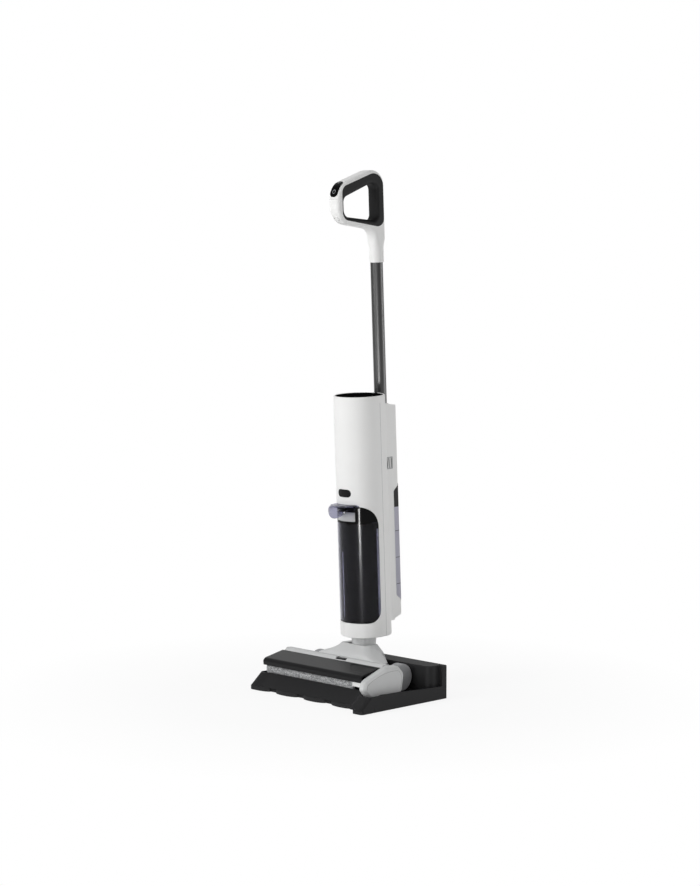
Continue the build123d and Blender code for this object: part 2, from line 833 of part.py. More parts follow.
with BuildPart() as roller_motor:
    with BuildSketch(side_view(motor_left)):
        with Locations((motor_y, motor_z)):
            Circle(motor_r)
    extrude(amount=motor_long)
    with BuildSketch(side_view(motor_left + motor_long)):
        with Locations((motor_y, motor_z)):
            Circle(motor_r - 4)
    extrude(amount=bar_right - bar_wall - motor_left - motor_long)
roller_motor.part.label = "roller_motor"
export_step(roller_motor.part, "parts/roller_motor.step")

with BuildPart() as water_bar:
    with BuildSketch(side_view(roller_left + 8)):
        with BuildLine():
            FilletPolyline(
                (bar_front_y, 62), (bar_front_y, 69), (bar_front_y - 4, 69), (bar_front_y - 6, 62),
                radius=[0, 0, 2, 1],
                close=True,
            )
        make_face()
    extrude(amount=roller_long - 16)
    with BuildSketch(Plane.XY.offset(61)):
        with Locations((roller_left + roller_long / 2, bar_front_y - 3)):
            with GridLocations((roller_long - 46) / 9, 0, 10, 1):
                Circle(0.8)
    extrude(amount=4, mode=Mode.SUBTRACT)
water_bar.part.label = "water_bar"
export_step(water_bar.part, "parts/water_bar.step")

with BuildPart() as scraper_blade:
    with BuildSketch(side_view(roller_left + 3)):
        with BuildLine():
            Polyline(
                (bar_front_y, roller_z + 4), (bar_front_y, roller_z + 9),
                (roller_y + roller_r + 0.5, roller_z + 2.4), (roller_y + roller_r + 0.5, roller_z + 1.4),
                close=True,
            )
        make_face()
    extrude(amount=roller_long - 6)
scraper_blade.part.label = "scraper_blade"
export_step(scraper_blade.part, "parts/scraper_blade.step")

bracket_left = roller_right + 2
with BuildPart() as roller_bracket:
    with BuildSketch(Plane.XY.offset(roller_z - 1)):
        with Locations(((bracket_left + bar_right) / 2, -54)):
            Rectangle(bar_right - bracket_left, 15)
    extrude(amount=10)
    with BuildSketch(side_view(bracket_left - 1)):
        with Locations((roller_y, roller_z)):
            Circle(13)
    extrude(amount=bar_right - bracket_left + 2, mode=Mode.SUBTRACT)
roller_bracket.part.label = "roller_bracket"
export_step(roller_bracket.part, "parts/roller_bracket.step")

with BuildPart() as wheel_axles:
    for across in (-wheel_outer_x + 2, arm_outer_x - arm_thick):
        with BuildSketch(side_view(across)):
            with Locations((wheel_y, wheel_z)):
                Circle(axle_r)
        extrude(amount=wheel_outer_x - 2 - arm_outer_x + arm_thick)
wheel_axles.part.label = "wheel_axles"
export_step(wheel_axles.part, "parts/wheel_axles.step")

with BuildPart() as hinge_pins:
    for across in (-slot_half - 11, slot_half - 9):
        with BuildSketch(side_view(across)):
            with Locations((neck_y, pivot_z)):
                Circle(pin_r)
        extrude(amount=20)
hinge_pins.part.label = "hinge_pins"
export_step(hinge_pins.part, "parts/hinge_pins.step")

for wheel_label, inner_x in (("wheel_left", -wheel_outer_x), ("wheel_right", wheel_outer_x - wheel_wide)):
    with BuildPart() as wheel:
        with BuildSketch(side_view(inner_x)):
            with Locations((wheel_y, wheel_z)):
                Circle(wheel_r)
        extrude(amount=wheel_wide)
        fillet(wheel.edges().filter_by(GeomType.CIRCLE), 3)
        with BuildSketch(side_view(inner_x)):
            with Locations((wheel_y, wheel_z)):
                Circle(axle_r + bearing_gap)
        extrude(amount=wheel_wide, mode=Mode.SUBTRACT)
    wheel.part.label = wheel_label
    export_step(wheel.part, f"parts/{wheel_label}.step")

# ---------------------------------------------------------------- roller and its drive
with BuildPart() as roller_sleeve:
    with BuildSketch(side_view(roller_left)):
        with Locations((roller_y, roller_z)):
            Circle(roller_r)
            Circle(roller_core_r, mode=Mode.SUBTRACT)
    extrude(amount=roller_long)
roller_sleeve.part.label = "roller_sleeve"
export_step(roller_sleeve.part, "parts/roller_sleeve.step")

with BuildPart() as roller_core:
    with BuildSketch(side_view(roller_left)):
        with Locations((roller_y, roller_z)):
            Circle(roller_core_r)
    extrude(amount=roller_long)
    with BuildSketch(side_view(roller_left)):
        with Locations((roller_y, roller_z)):
            Circle(roller_bore_r)
    extrude(amount=roller_long - 6, mode=Mode.SUBTRACT)
    with BuildSketch(side_view(roller_right)):
        with Locations((roller_y, roller_z)):
            Circle(7)
    extrude(amount=belt_x - roller_right - belt_wide / 2)
roller_core.part.label = "roller_core"
export_step(roller_core.part, "parts/roller_core.step")

with BuildPart() as roller_end_plug:
    with BuildSketch(side_view(roller_left)):
        with Locations((roller_y, roller_z)):
            Circle(roller_bore_r)
    extrude(amount=9)
    with BuildSketch(side_view(roller_left - 0.6 - side_arm_thick)):
        with Locations((roller_y, roller_z)):
            Circle(2.5)
    extrude(amount=side_arm_thick + 0.6)
roller_end_plug.part.label = "roller_end_plug"
export_step(roller_end_plug.part, "parts/roller_end_plug.step")

with BuildPart() as roller_pulley:
    with BuildSketch(side_view(belt_x - belt_wide / 2)):
        with Locations((roller_y, roller_z)):
            Circle(large_pulley_r - belt_thick - 0.3)
    extrude(amount=belt_wide)
    with BuildSketch(side_view(belt_x + belt_wide / 2)):
        with Locations((roller_y, roller_z)):
            Circle(large_pulley_r)
    extrude(amount=1.2)
roller_pulley.part.label = "roller_pulley"
export_step(roller_pulley.part, "parts/roller_pulley.step")

with BuildPart() as motor_pulley:
    with BuildSketch(side_view(belt_x - belt_wide / 2)):
        with Locations((motor_y, motor_z)):
            Circle(small_pulley_r - belt_thick - 0.3)
    extrude(amount=belt_wide)
    with BuildSketch(side_view(belt_x + belt_wide / 2)):
        with Locations((motor_y, motor_z)):
            Circle(small_pulley_r)
    extrude(amount=1.2)
    with BuildSketch(side_view(bar_right - bar_wall + 0.3)):
        with Locations((motor_y, motor_z)):
            Circle(shaft_r)
    extrude(amount=belt_x - belt_wide / 2 - bar_right + bar_wall - 0.3)
motor_pulley.part.label = "motor_pulley"
export_step(motor_pulley.part, "parts/motor_pulley.step")

# belt: two arcs joined by the outer tangents of the pulleys


def belt_loop(grow):
    """Corner-free loop round both pulleys as a hull of two circles."""
    with Locations((roller_y, roller_z)):
        Circle(large_pulley_r - belt_thick + grow)
    with Locations((motor_y, motor_z)):
        Circle(small_pulley_r - belt_thick + grow)
    make_hull()


with BuildPart() as drive_belt:
    with BuildSketch(side_view(belt_x - belt_wide / 2 + 0.5)):
        belt_loop(belt_thick)
    extrude(amount=belt_wide - 1)
    with BuildSketch(side_view(belt_x - belt_wide / 2 + 0.5)):
        belt_loop(0)
    extrude(amount=belt_wide - 1, mode=Mode.SUBTRACT)
drive_belt.part.label = "drive_belt"
export_step(drive_belt.part, "parts/drive_belt.step")

# ---------------------------------------------------------------- roller cover and latch
cover_top = Plane(origin=(0, -60, 65.2), x_dir=(1, 0, 0), z_dir=(0, -10.4, 52.7))
cover_outline = [
    (-64, 50.5, 0.8),
    (-65.5, 60, 5),
    (-60, 65.2, 7),
    (bar_front_y - head_gap, 75.6, 0.8),
    (bar_front_y - head_gap, 75.6 - cover_wall - 0.6, 0),
    (-58.8, 62.6, 6),
    (-63, 58.6, 3),
    (-61.8, 50.5, 0.8),
]
with BuildPart() as roller_cover:
    with BuildSketch(side_view(cover_left)):
        with BuildLine():
            FilletPolyline(*points_of(cover_outline), radius=radii_of(cover_outline), close=True)
        make_face()
    extrude(amount=cover_right - cover_left)
    with BuildSketch(side_view(cover_left)):
        with BuildLine():
            FilletPolyline(
                (-64, 50.5), (-65.5, 60), (-60, 65.2), (bar_front_y - head_gap, 75.6),
                (bar_front_y - head_gap, 66), (-30, 51.5),
                radius=[0, 5, 7, 0.8, 3, 3],
                close=True,
            )
        make_face()
    extrude(amount=cover_wall)
    # finger recess on the drive side of the top
    with BuildSketch(cover_top):
        with BuildLine():
            FilletPolyline(
                (cover_right - 82.6, 47),
                (cover_right - 9, 47),
                (cover_right - 9, 15),
                (cover_right - 48.6, 15),
                radius=[5, 6, 6, 12],
                close=True,
            )
        make_face()
    extrude(amount=-0.7, mode=Mode.SUBTRACT)
roller_cover.part.label = "roller_cover"
export_step(roller_cover.part, "parts/roller_cover.step")

with BuildPart() as cover_latch:
    with BuildSketch(side_view(-latch_half)):
        with BuildLine():
            FilletPolyline(
                (latch_y - latch_deep / 2, latch_low),
                (latch_y - latch_deep / 2, latch_high - 1),
                (latch_y + latch_deep / 2, latch_high),
                (latch_y + latch_deep / 2, latch_low),
                radius=[0, 1.6, 1.6, 0],
                close=True,
            )
        make_face()
    extrude(amount=2 * latch_half)
    fillet(cover_latch.edges().filter_by(Axis.Z), 2.5)
cover_latch.part.label = "cover_latch"
export_step(cover_latch.part, "parts/cover_latch.step")


# ================================================================ neck
pivot_local = upright.to_local_coords(Vector(0, neck_y, pivot_z))
pivot_w = pivot_local.Z
tube_low = -6.0
tube_high = body_low - 0.4
bearing_low = body_low + body_wall + 0.1
bearing_high = bearing_low + 10.0
flange_high = bearing_high + 2.5

with BuildPart() as neck_joint:
    with BuildSketch(side_view(-barrel_half)):
        with Locations((neck_y, pivot_z)):
            Circle(barrel_r)
    extrude(amount=2 * barrel_half)
    with BuildSketch(level(pivot_w)):
        with Locations((0, neck_v)):
            RectangleRounded(2 * barrel_half - 0.4, 2 * barrel_r - 3, 10)
    with BuildSketch(level(tube_low)):
        with Locations((0, neck_v)):
            Circle(neck_low_r)
    loft()
    with BuildSketch(level(tube_low)):
        with Locations((0, neck_v)):
            Circle(neck_low_r)
    with BuildSketch(level(tube_high)):
        with Locations((0, neck_v)):
            Circle(neck_high_r)
    loft()
    with BuildSketch(level(tube_high)):
        with Locations((0, neck_v)):
            Circle(spigot_r)
    extrude(amount=flange_high - tube_high)
    with BuildSketch(level(bearing_high + 0.3)):
        with Locations((0, neck_v)):
            Circle(spigot_r + 3)
    extrude(amount=flange_high - bearing_high - 0.3)
    with BuildSketch(level(pivot_w)):
        with Locations((0, neck_v)):
            Circle(neck_bore_r - 3.5)
    extrude(amount=flange_high - pivot_w + 1, mode=Mode.SUBTRACT)
    with BuildSketch(level(tube_low + 2)):
        with Locations((0, neck_v)):
            Circle(neck_bore_r)
    extrude(amount=flange_high - tube_low, mode=Mode.SUBTRACT)
    with BuildSketch(level(pivot_w)):
        with Locations((0, neck_v)):
            Rectangle(2 * (neck_bore_r - 4), 2 * (neck_bore_r - 5))
    extrude(amount=-barrel_r - 2, mode=Mode.SUBTRACT)
    with BuildSketch(side_view(-barrel_half - 1)):
        with Locations((neck_y, pivot_z)):
            Circle(pin_r + bearing_gap)
    extrude(amount=2 * barrel_half + 2, mode=Mode.SUBTRACT)
neck_joint.part.label = "neck_joint"
export_step(neck_joint.part, "parts/neck_joint.step")

with BuildPart() as neck_hose:
    with BuildSketch(level(tube_low + 2)):
        with Locations((0, neck_v)):
            Circle(neck_bore_r)
            Circle(neck_bore_r - 2.4, mode=Mode.SUBTRACT)
    extrude(amount=flange_high - tube_low - 2)
neck_hose.part.label = "neck_hose"
export_step(neck_hose.part, "parts/neck_hose.step")


# ================================================================ upright: shells
def rear_opening(inset):
    """Side outline of the opening in the rear box, drawn in by inset."""
    run = box_back + 12 - rear_tank_v
    rise = rear_tank_slope + 9
    shift = inset * (hypot(run, rise) - rise) / run
    low = rear_tank_low + rear_tank_slope + shift
    high = rear_tank_high - rear_tank_slope - shift
    corner = 6 - inset
    return [
        (rear_tank_v + inset, low, corner),
        (rear_tank_v + inset, high, corner),
        (rear_tank_v + inset + run, high + rise, 0),
        (rear_tank_v + inset + run, low - rise, 0),
    ]


inner_r = body_r - body_wall
box_inner_half = box_half - body_wall
box_inner_back = box_back - body_wall
opening = rear_opening(0)
vent_v = 51.5
vent_w = 380.5
vent_deep = 20.0
vent_high = 26.0
slat_count = 5

with BuildPart() as front_shell:
    with BuildSketch(level(body_low)):
        Circle(body_r)
    extrude(amount=body_high - body_low)
    fillet(front_shell.edges().filter_by(GeomType.CIRCLE), 2.0)
    with BuildSketch(level(body_low + body_wall)):
        Circle(inner_r)
    extrude(amount=body_high - body_low - body_wall - 4, mode=Mode.SUBTRACT)
    with BuildSketch(level(body_high - 5)):
        Circle(body_r - 3.4)
    extrude(amount=6, mode=Mode.SUBTRACT)
    with BuildSketch(level(body_low - 1)):
        with Locations((0, seam_v + body_r)):
            Rectangle(4 * body_r, 2 * body_r)
    extrude(amount=rim_low - body_low + 1, mode=Mode.SUBTRACT)
    with BuildSketch(flank(-body_r - 1)):
        with BuildLine():
            FilletPolyline(
                (-body_r - 5, bay_low),
                (-body_r - 5, bay_high),
                (bay_edge_v, bay_high),
                (bay_edge_v, bay_low),
                radius=[0, 0, bay_high_corner, bay_low_corner],
                close=True,
            )
        make_face()
    extrude(amount=2 * body_r + 2, mode=Mode.SUBTRACT)
    with BuildSketch(level(body_low - 1)):
        with Locations((0, neck_v)):
            Circle(spigot_r + 0.5)
    extrude(amount=body_wall + 2, mode=Mode.SUBTRACT)
    with BuildSketch(face_on(-body_r - 1)):
        with Locations((0, button_w)):
            SlotOverall(button_long + 0.6, button_high + 0.6)
    extrude(amount=-14, mode=Mode.SUBTRACT)
    with BuildSketch(level(rim_low - 1)):
        with Locations((0, rod_v)):
            Circle(rod_r)
    extrude(amount=body_high - rim_low + 2, mode=Mode.SUBTRACT)
front_shell.part.label = "front_shell"
export_step(front_shell.part, "parts/front_shell.step")

with BuildPart() as rear_shell:
    with BuildSketch(level(body_low)):
        Circle(body_r)
    extrude(amount=rim_low - body_low)
    with BuildSketch(level(box_low_front - 8)) as box_plan:
        Circle(body_r)
        with Locations((0, box_back / 2)):
            Rectangle(2 * box_half, box_back)
        corners = box_plan.vertices().group_by(Axis.Y)
        fillet(corners[-1], box_corner)
        joints = box_plan.vertices().filter_by(lambda v: abs(abs(v.X) - box_half) < 0.01)
        fillet(joints.group_by(Axis.Y)[0], box_blend)
    extrude(amount=rim_low - box_low_front + 8)
    # sloping top and bottom of the rear box
    with BuildSketch(flank(-2 * body_r)):
        with BuildLine():
            Polyline(
                (body_r + 0.01, box_high_front - 2),
                (box_back + 5, box_high_back - 0.5),
                (box_back + 5, box_high_front + 20),
                (body_r + 0.01, box_high_front + 20),
                close=True,
            )
        make_face()
    extrude(amount=4 * body_r, mode=Mode.SUBTRACT)
    rear_cut = (box_low_back - box_low_front) / (box_back - 45)
    with BuildSketch(flank(-2 * body_r)):
        with BuildLine():
            Polyline(
                (body_r + 0.01, box_low_front + rear_cut * (body_r - 45)),
                (box_back + 5, box_low_back + rear_cut * 5),
                (box_back + 5, box_low_front - 20),
                (body_r + 0.01, box_low_front - 20),
                close=True,
            )
        make_face()
    extrude(amount=4 * body_r, mode=Mode.SUBTRACT)
    # trim what is left of the box above and below beside the round body
    with BuildSketch(level(box_high_front)):
        Rectangle(6 * body_r, 6 * body_r)
        Circle(body_r, mode=Mode.SUBTRACT)
    extrude(amount=20, mode=Mode.SUBTRACT)
    with BuildSketch(level(body_low - 5)):
        Rectangle(6 * body_r, 6 * body_r)
        Circle(body_r, mode=Mode.SUBTRACT)
    extrude(amount=box_low_front - body_low + 5, mode=Mode.SUBTRACT)
    # hollow
    with BuildSketch(level(body_low + body_wall)):
        Circle(inner_r)
    extrude(amount=rim_low - body_low, mode=Mode.SUBTRACT)
    with BuildSketch(level(box_low_back + 4)):
        with Locations((0, box_inner_back / 2)):
            RectangleRounded(2 * box_inner_half, box_inner_back, 5)
    extrude(amount=box_high_back - box_low_back - 8, mode=Mode.SUBTRACT)
    with BuildSketch(level(body_low - 1)):
        with Locations((0, seam_v - 2 * body_r)):
            Rectangle(6 * body_r, 4 * body_r)
    extrude(amount=rim_low - body_low + 20, mode=Mode.SUBTRACT)
    # opening for the clean water tank
    with BuildSketch(flank(-body_r - 1)):
        with BuildLine():
            FilletPolyline(*points_of(opening), radius=radii_of(opening), close=True)
        make_face()
    extrude(amount=2 * body_r + 2, mode=Mode.SUBTRACT)
    # air outlets
    with BuildSketch(flank(-box_half - 1)):
        with Locations((vent_v, vent_w)):
            RectangleRounded(vent_deep, vent_high, 1.5)
    extrude(amount=2 * box_half + 2, mode=Mode.SUBTRACT)
    # socket of the rod
    with BuildSketch(level(rod_low)):
        with Locations((0, rod_v)):
            Circle(rod_r)
    extrude(amount=rim_low - rod_low + 5, mode=Mode.SUBTRACT)
    with BuildSketch(level(body_low - 1)):
        with Locations((0, neck_v)):
            Circle(spigot_r + 0.5)
    extrude(amount=body_wall + 2, mode=Mode.SUBTRACT)
rear_shell.part.label = "rear_shell"
export_step(rear_shell.part, "parts/rear_shell.step")

inlet_v = -16.0
inlet_tube_r = 11.0
filter_v = -20.0
air_hole_r = 13.0
port_low = flange_high + 0.6
port_high = bay_low - 0.2
frame_half = sqrt((inner_r - 0.3) ** 2 - (seam_v) ** 2) - 0.3
shelf_low = bay_high + 2.0
shelf_thick = 2.6
with BuildPart() as inner_frame:
    with BuildSketch(face_on(frame_v)):
        with Locations((0, (bearing_low + rim_low) / 2)):
            Rectangle(2 * frame_half, rim_low - bearing_low)
    extrude(amount=-frame_thick)
    with BuildSketch(level(bearing_low)):
        Circle(inner_r - 0.2)
        with Locations((0, neck_v)):
            Circle(spigot_r + bearing_gap, mode=Mode.SUBTRACT)
    extrude(amount=2.5)
    with BuildSketch(level(bearing_low)):
        with Locations((0, neck_v)):
            Circle(spigot_r + 4)
            Circle(spigot_r + bearing_gap, mode=Mode.SUBTRACT)
    extrude(amount=bearing_high - bearing_low)
    with BuildSketch(level(shelf_low)):
        Circle(inner_r - 0.2)
        with Locations((0, frame_v + 2 * body_r)):
            Rectangle(4 * body_r, 4 * body_r, mode=Mode.SUBTRACT)
        with Locations((0, filter_v)):
            Circle(air_hole_r, mode=Mode.SUBTRACT)
    extrude(amount=shelf_thick)
    # bearing and the way through for the flange of the neck
    with BuildSketch(level(bearing_low - 1)):
        with Locations((0, neck_v)):
            Circle(spigot_r + bearing_gap)
    extrude(amount=bearing_high - bearing_low + 2, mode=Mode.SUBTRACT)
    with BuildSketch(level(bearing_high)):
        with Locations((0, neck_v)):
            Circle(spigot_r + 3.6)
    extrude(amount=port_low - bearing_high, mode=Mode.SUBTRACT)
    # duct from the neck up to the floor of the tank bay
    with BuildSketch(level(port_low)):
        with Locations((0, neck_v)):
            Circle(neck_bore_r + 2)
    with BuildSketch(level(port_high)):
        with Locations((0, inlet_v)):
            Circle(inlet_tube_r + 3)
    loft()
    with BuildSketch(level(port_high - 2.4)):
        Circle(inner_r - 0.2)
        with Locations((0, frame_v + 2 * body_r)):
            Rectangle(4 * body_r, 4 * body_r, mode=Mode.SUBTRACT)
    extrude(amount=2.4)
    with BuildSketch(level(port_low)):
        with Locations((0, neck_v)):
            Circle(neck_bore_r - 2.4)
    with BuildSketch(level(port_high)):
        with Locations((0, inlet_v)):
            Circle(inlet_tube_r - 1.5)
    loft(mode=Mode.SUBTRACT)
    # rod clamp
    with BuildSketch(level(rod_low - 3)):
        with Locations((0, (frame_v + frame_thick + rod_v) / 2 - 4)):
            Rectangle(16, rod_v - frame_v - frame_thick - 8)
        with Locations((0, rod_v)):
            Circle(rod_r, mode=Mode.SUBTRACT)
    extrude(amount=24)
inner_frame.part.label = "inner_frame"
export_step(inner_frame.part, "parts/inner_frame.step")

with BuildPart() as vent_grilles:
    for across in (-box_half, box_half - 1.6):
        with BuildSketch(flank(across)):
            with Locations((vent_v, vent_w)):
                RectangleRounded(vent_deep, vent_high, 1.5)
                with GridLocations(vent_deep / slat_count, 0, slat_count - 1, 1):
                    SlotOverall(vent_high - 4, 1.8, rotation=90, mode=Mode.SUBTRACT)
        extrude(amount=1.6)
vent_grilles.part.label = "vent_grilles"
export_step(vent_grilles.part, "parts/vent_grilles.step")

with BuildPart() as display_lens:
    with BuildSketch(level(body_high - 3.4)):
        Circle(body_r - 3.4)
        with Locations((0, rod_v)):
            Circle(rod_r, mode=Mode.SUBTRACT)
    extrude(amount=2.6)
display_lens.part.label = "display_lens"
export_step(display_lens.part, "parts/display_lens.step")

with BuildPart() as display_board:
    with BuildSketch(level(body_high - 5)):
        Circle(body_r - 5)
    extrude(amount=1.6)
display_board.part.label = "display_board"
export_step(display_board.part, "parts/display_board.step")

battery_low = 412.0
battery_long = 96.0
battery_wide = 64.0
battery_deep = 41.0
with BuildPart() as battery_pack:
    with BuildSketch(level(battery_low)):
        with Locations((0, frame_v - battery_deep / 2)):
            RectangleRounded(battery_wide, battery_deep, 6)
    extrude(amount=battery_long)
battery_pack.part.label = "battery_pack"
export_step(battery_pack.part, "parts/battery_pack.step")

motor_low = shelf_low + shelf_thick
motor_flange_r = 24.0
motor_flange_high = 12.0
motor_can_r = 21.0
motor_can_high = 46.0
with BuildPart() as suction_motor:
    with BuildSketch(level(motor_low)):
        with Locations((0, filter_v)):
            Circle(motor_flange_r)
            Circle(air_hole_r - 1, mode=Mode.SUBTRACT)
    extrude(amount=motor_flange_high)
    with BuildSketch(level(motor_low + motor_flange_high)):
        with Locations((0, filter_v)):
            Circle(motor_can_r)
    extrude(amount=motor_can_high)
suction_motor.part.label = "suction_motor"
export_step(suction_motor.part, "parts/suction_motor.step")

main_board_w = 455.0
main_board_wide = 60.0
main_board_high = 90.0
board_thick = 1.6
with BuildPart() as main_board:
    with BuildSketch(face_on(frame_v + frame_thick)):
        with Locations((0, main_board_w)):
            Rectangle(main_board_wide, main_board_high)
        with Locations((0, rod_low + 9)):
            Rectangle(17, 26, mode=Mode.SUBTRACT)
    extrude(amount=-board_thick)
main_board.part.label = "main_board"
export_step(main_board.part, "parts/main_board.step")

exhaust_low = 352.0
exhaust_wide = 56.0
exhaust_high = 50.0
exhaust_back = box_inner_back - 3
with BuildPart() as exhaust_filter:
    with BuildSketch(level(exhaust_low)):
        with Locations((0, (frame_v + frame_thick + exhaust_back) / 2)):
            Rectangle(exhaust_wide, exhaust_back - frame_v - frame_thick)
    extrude(amount=exhaust_high)
exhaust_filter.part.label = "exhaust_filter"
export_step(exhaust_filter.part, "parts/exhaust_filter.step")

pump_side = 30.0
pump_setback = 18.6         # middle of the pump from the inside of the shell
pump_seat = 2.5             # its foot above the bearing
pump_body_high = 26.0
pump_spout_r = 3.0
pump_v = body_r - body_wall - pump_setback
pump_high = bearing_low + pump_seat + pump_body_high
valve_low = rear_tank_low + 7
with BuildPart() as water_pump:
    with BuildSketch(level(bearing_low + pump_seat)):
        with Locations((0, pump_v)):
            RectangleRounded(pump_side, pump_side, 4)
    extrude(amount=pump_body_high)
    with BuildSketch(level(pump_high)):
        with Locations((0, pump_v)):
            Circle(pump_spout_r)
    extrude(amount=valve_low - head_gap - pump_high)
water_pump.part.label = "water_pump"
export_step(water_pump.part, "parts/water_pump.step")

with BuildPart() as rod:
    with BuildSketch(level(rod_low)):
        with Locations((0, rod_v)):
            Circle(rod_r)
            Circle(rod_r - rod_wall, mode=Mode.SUBTRACT)
    extrude(amount=stem_low + rod_plug - rod_low)
rod.part.label = "rod"
export_step(rod.part, "parts/rod.step")


# ================================================================ dirty water tank
lid_top = bay_high - 3.0
tank_low = bay_low + 1.0
visor_top = bay_high + 3.5


def tank_front(inset, top):
    """Front part of the tank, filling the bay's opening, drawn in by inset."""
    drawn = inset + tank_gap
    with BuildPart() as form:
        with BuildSketch(level(tank_low + inset)):
            Circle(body_r - tank_gap - inset)
        extrude(amount=top - tank_low - inset)
        with BuildSketch(flank(-body_r)):
            with BuildLine():
                FilletPolyline(
                    (-body_r - 5, bay_low + drawn),
                    (-body_r - 5, bay_high - drawn),
                    (bay_edge_v - drawn, bay_high - drawn),
                    (bay_edge_v - drawn, bay_low + drawn),
                    radius=[0, 0, bay_high_corner - drawn, bay_low_corner - drawn],
                    close=True,
                )
            make_face()
        extrude(amount=2 * body_r, mode=Mode.INTERSECT)
    return form.part


def tank_rear(inset):
    """Rear part of the tank, narrow enough to pass through the opening."""
    half = tank_inner_half - inset
    low_corner = tank_low_corner - inset
    high_corner = tank_high_corner - inset
    with BuildPart() as form:
        with BuildSketch(level(tank_low + inset)):
            Circle(inner_r - 2 * tank_gap - inset)
        extrude(amount=lid_top - tank_low - 2 * inset)
        with BuildSketch(face_on(tank_rear_v - inset)):
            with BuildLine():
                FilletPolyline(
                    (-half, tank_low + inset),
                    (half, tank_low + inset),
                    (half, lid_top - inset),
                    (-half, lid_top - inset),
                    radius=[low_corner, low_corner, high_corner, high_corner],
                    close=True,
                )
            make_face()
        extrude(amount=2 * body_r, mode=Mode.INTERSECT)
    return form.part


tank_front_outer = tank_front(0, bay_high)
tank_rear_outer = tank_rear(0)
tank_front_inner = tank_front(tank_wall, lid_top - tank_wall)
tank_rear_inner = tank_rear(tank_wall)

with BuildPart() as dirty_tank:
    add(tank_front_outer)
    add(tank_rear_outer)
    add(tank_front_inner, mode=Mode.SUBTRACT)
    add(tank_rear_inner, mode=Mode.SUBTRACT)
    with BuildSketch(level(lid_low)):
        Rectangle(4 * body_r, 4 * body_r)
    extrude(amount=bay_high - lid_low, mode=Mode.SUBTRACT)
    with BuildSketch(level(tank_low - 1)):
        with Locations((0, inlet_v)):
            Circle(inlet_tube_r)
    extrude(amount=tank_wall + 2, mode=Mode.SUBTRACT)
dirty_tank.part.label = "dirty_tank"
export_step(dirty_tank.part, "parts/dirty_tank.step")

with BuildPart() as tank_lid:
    add(tank_front_outer)
    add(tank_rear_outer)
    add(tank_front_inner, mode=Mode.SUBTRACT)
    add(tank_rear_inner, mode=Mode.SUBTRACT)
    with BuildSketch(level(tank_low - 1)):
        Rectangle(4 * body_r, 4 * body_r)
    extrude(amount=lid_low - tank_low + 1, mode=Mode.SUBTRACT)
    # seat of the grip's root
    with BuildSketch(level(lid_top)):
        with Locations((0, visor_root_v - body_r)):
            Rectangle(4 * body_r, 2 * body_r)
    extrude(amount=bay_high - lid_top, mode=Mode.SUBTRACT)
    with BuildSketch(level(lid_top - tank_wall - 1)):
        with Locations((0, filter_v)):
            Circle(air_hole_r)
    extrude(amount=tank_wall + 2, mode=Mode.SUBTRACT)
tank_lid.part.label = "tank_lid"
export_step(tank_lid.part, "parts/tank_lid.step")

with BuildPart() as grip_hollow:
    with BuildSketch(level(visor_top - visor_droop - 1)):
        with Locations((0, visor_v)):
            Ellipse(visor_half - visor_wall, visor_long - visor_wall)
    extrude(amount=visor_droop + 1 - visor_wall)
    fillet(grip_hollow.edges().group_by(along_body)[-1], visor_round - visor_wall)

with BuildPart() as tank_grip:
    with BuildSketch(level(visor_top - visor_droop)):
        with Locations((0, visor_v)):
            Ellipse(visor_half, visor_long)
    extrude(amount=visor_droop)
    fillet(tank_grip.edges().group_by(along_body)[-1], visor_round)
    add(grip_hollow.part, mode=Mode.SUBTRACT)
    # root that joins the grip to the lid
    with BuildSketch(level(lid_top)):
        with Locations((0, visor_v)):
            Ellipse(visor_half, visor_long)
        with Locations((0, (visor_root_v - body_r - 3) / 2)):
            Rectangle(2 * visor_half, body_r + 3 + visor_root_v, mode=Mode.INTERSECT)
    extrude(amount=visor_top - visor_wall - lid_top)
    with BuildSketch(level(bay_high - 2 * tank_gap)):
        Circle(body_r + tank_gap)
    extrude(amount=visor_droop, mode=Mode.SUBTRACT)
    # lower edge, rising from the tip to the body
    with BuildSketch(flank(-visor_half - 5)):
        with BuildLine():
            Polyline(
                (visor_v - visor_long - 1, visor_top - visor_droop),
                (visor_v - visor_long + visor_nose, visor_top - visor_skirt),
                (-body_r - 5, visor_top - visor_skirt),
                (-body_r - 3, lid_top),
                (visor_root_v, lid_top),
                (visor_root_v, bay_high - 2 * tank_gap),
                (body_r, bay_high - 2 * tank_gap),
                (body_r, visor_top - 2 * visor_droop),
                (visor_v - visor_long - 1, visor_top - 2 * visor_droop),
                close=True,
            )
        make_face()
    extrude(amount=2 * visor_half + 10, mode=Mode.SUBTRACT)
tank_grip.part.label = "tank_grip"
export_step(tank_grip.part, "parts/tank_grip.step")

with BuildPart() as tank_inlet_tube:
    with BuildSketch(level(tank_low)):
        with Locations((0, inlet_v)):
            Circle(inlet_tube_r)
    extrude(amount=inlet_tube_high - tank_low)
    with BuildSketch(level(float_low - 3)):
        with Locations((0, inlet_v)):
            Circle(inlet_tube_r + 3)
    extrude(amount=3)
    with BuildSketch(level(tank_low)):
        with Locations((0, inlet_v)):
            Circle(inlet_tube_r - 1.5)
    extrude(amount=inlet_tube_high - tank_low, mode=Mode.SUBTRACT)
tank_inlet_tube.part.label = "tank_inlet_tube"
export_step(tank_inlet_tube.part, "parts/tank_inlet_tube.step")

with BuildPart() as tank_float:
    with BuildSketch(level(float_low + head_gap)):
        with Locations((0, inlet_v)):
            Circle(float_r)
            Circle(inlet_tube_r + head_gap, mode=Mode.SUBTRACT)
    extrude(amount=float_high)
tank_float.part.label = "tank_float"
export_step(tank_float.part, "parts/tank_float.step")

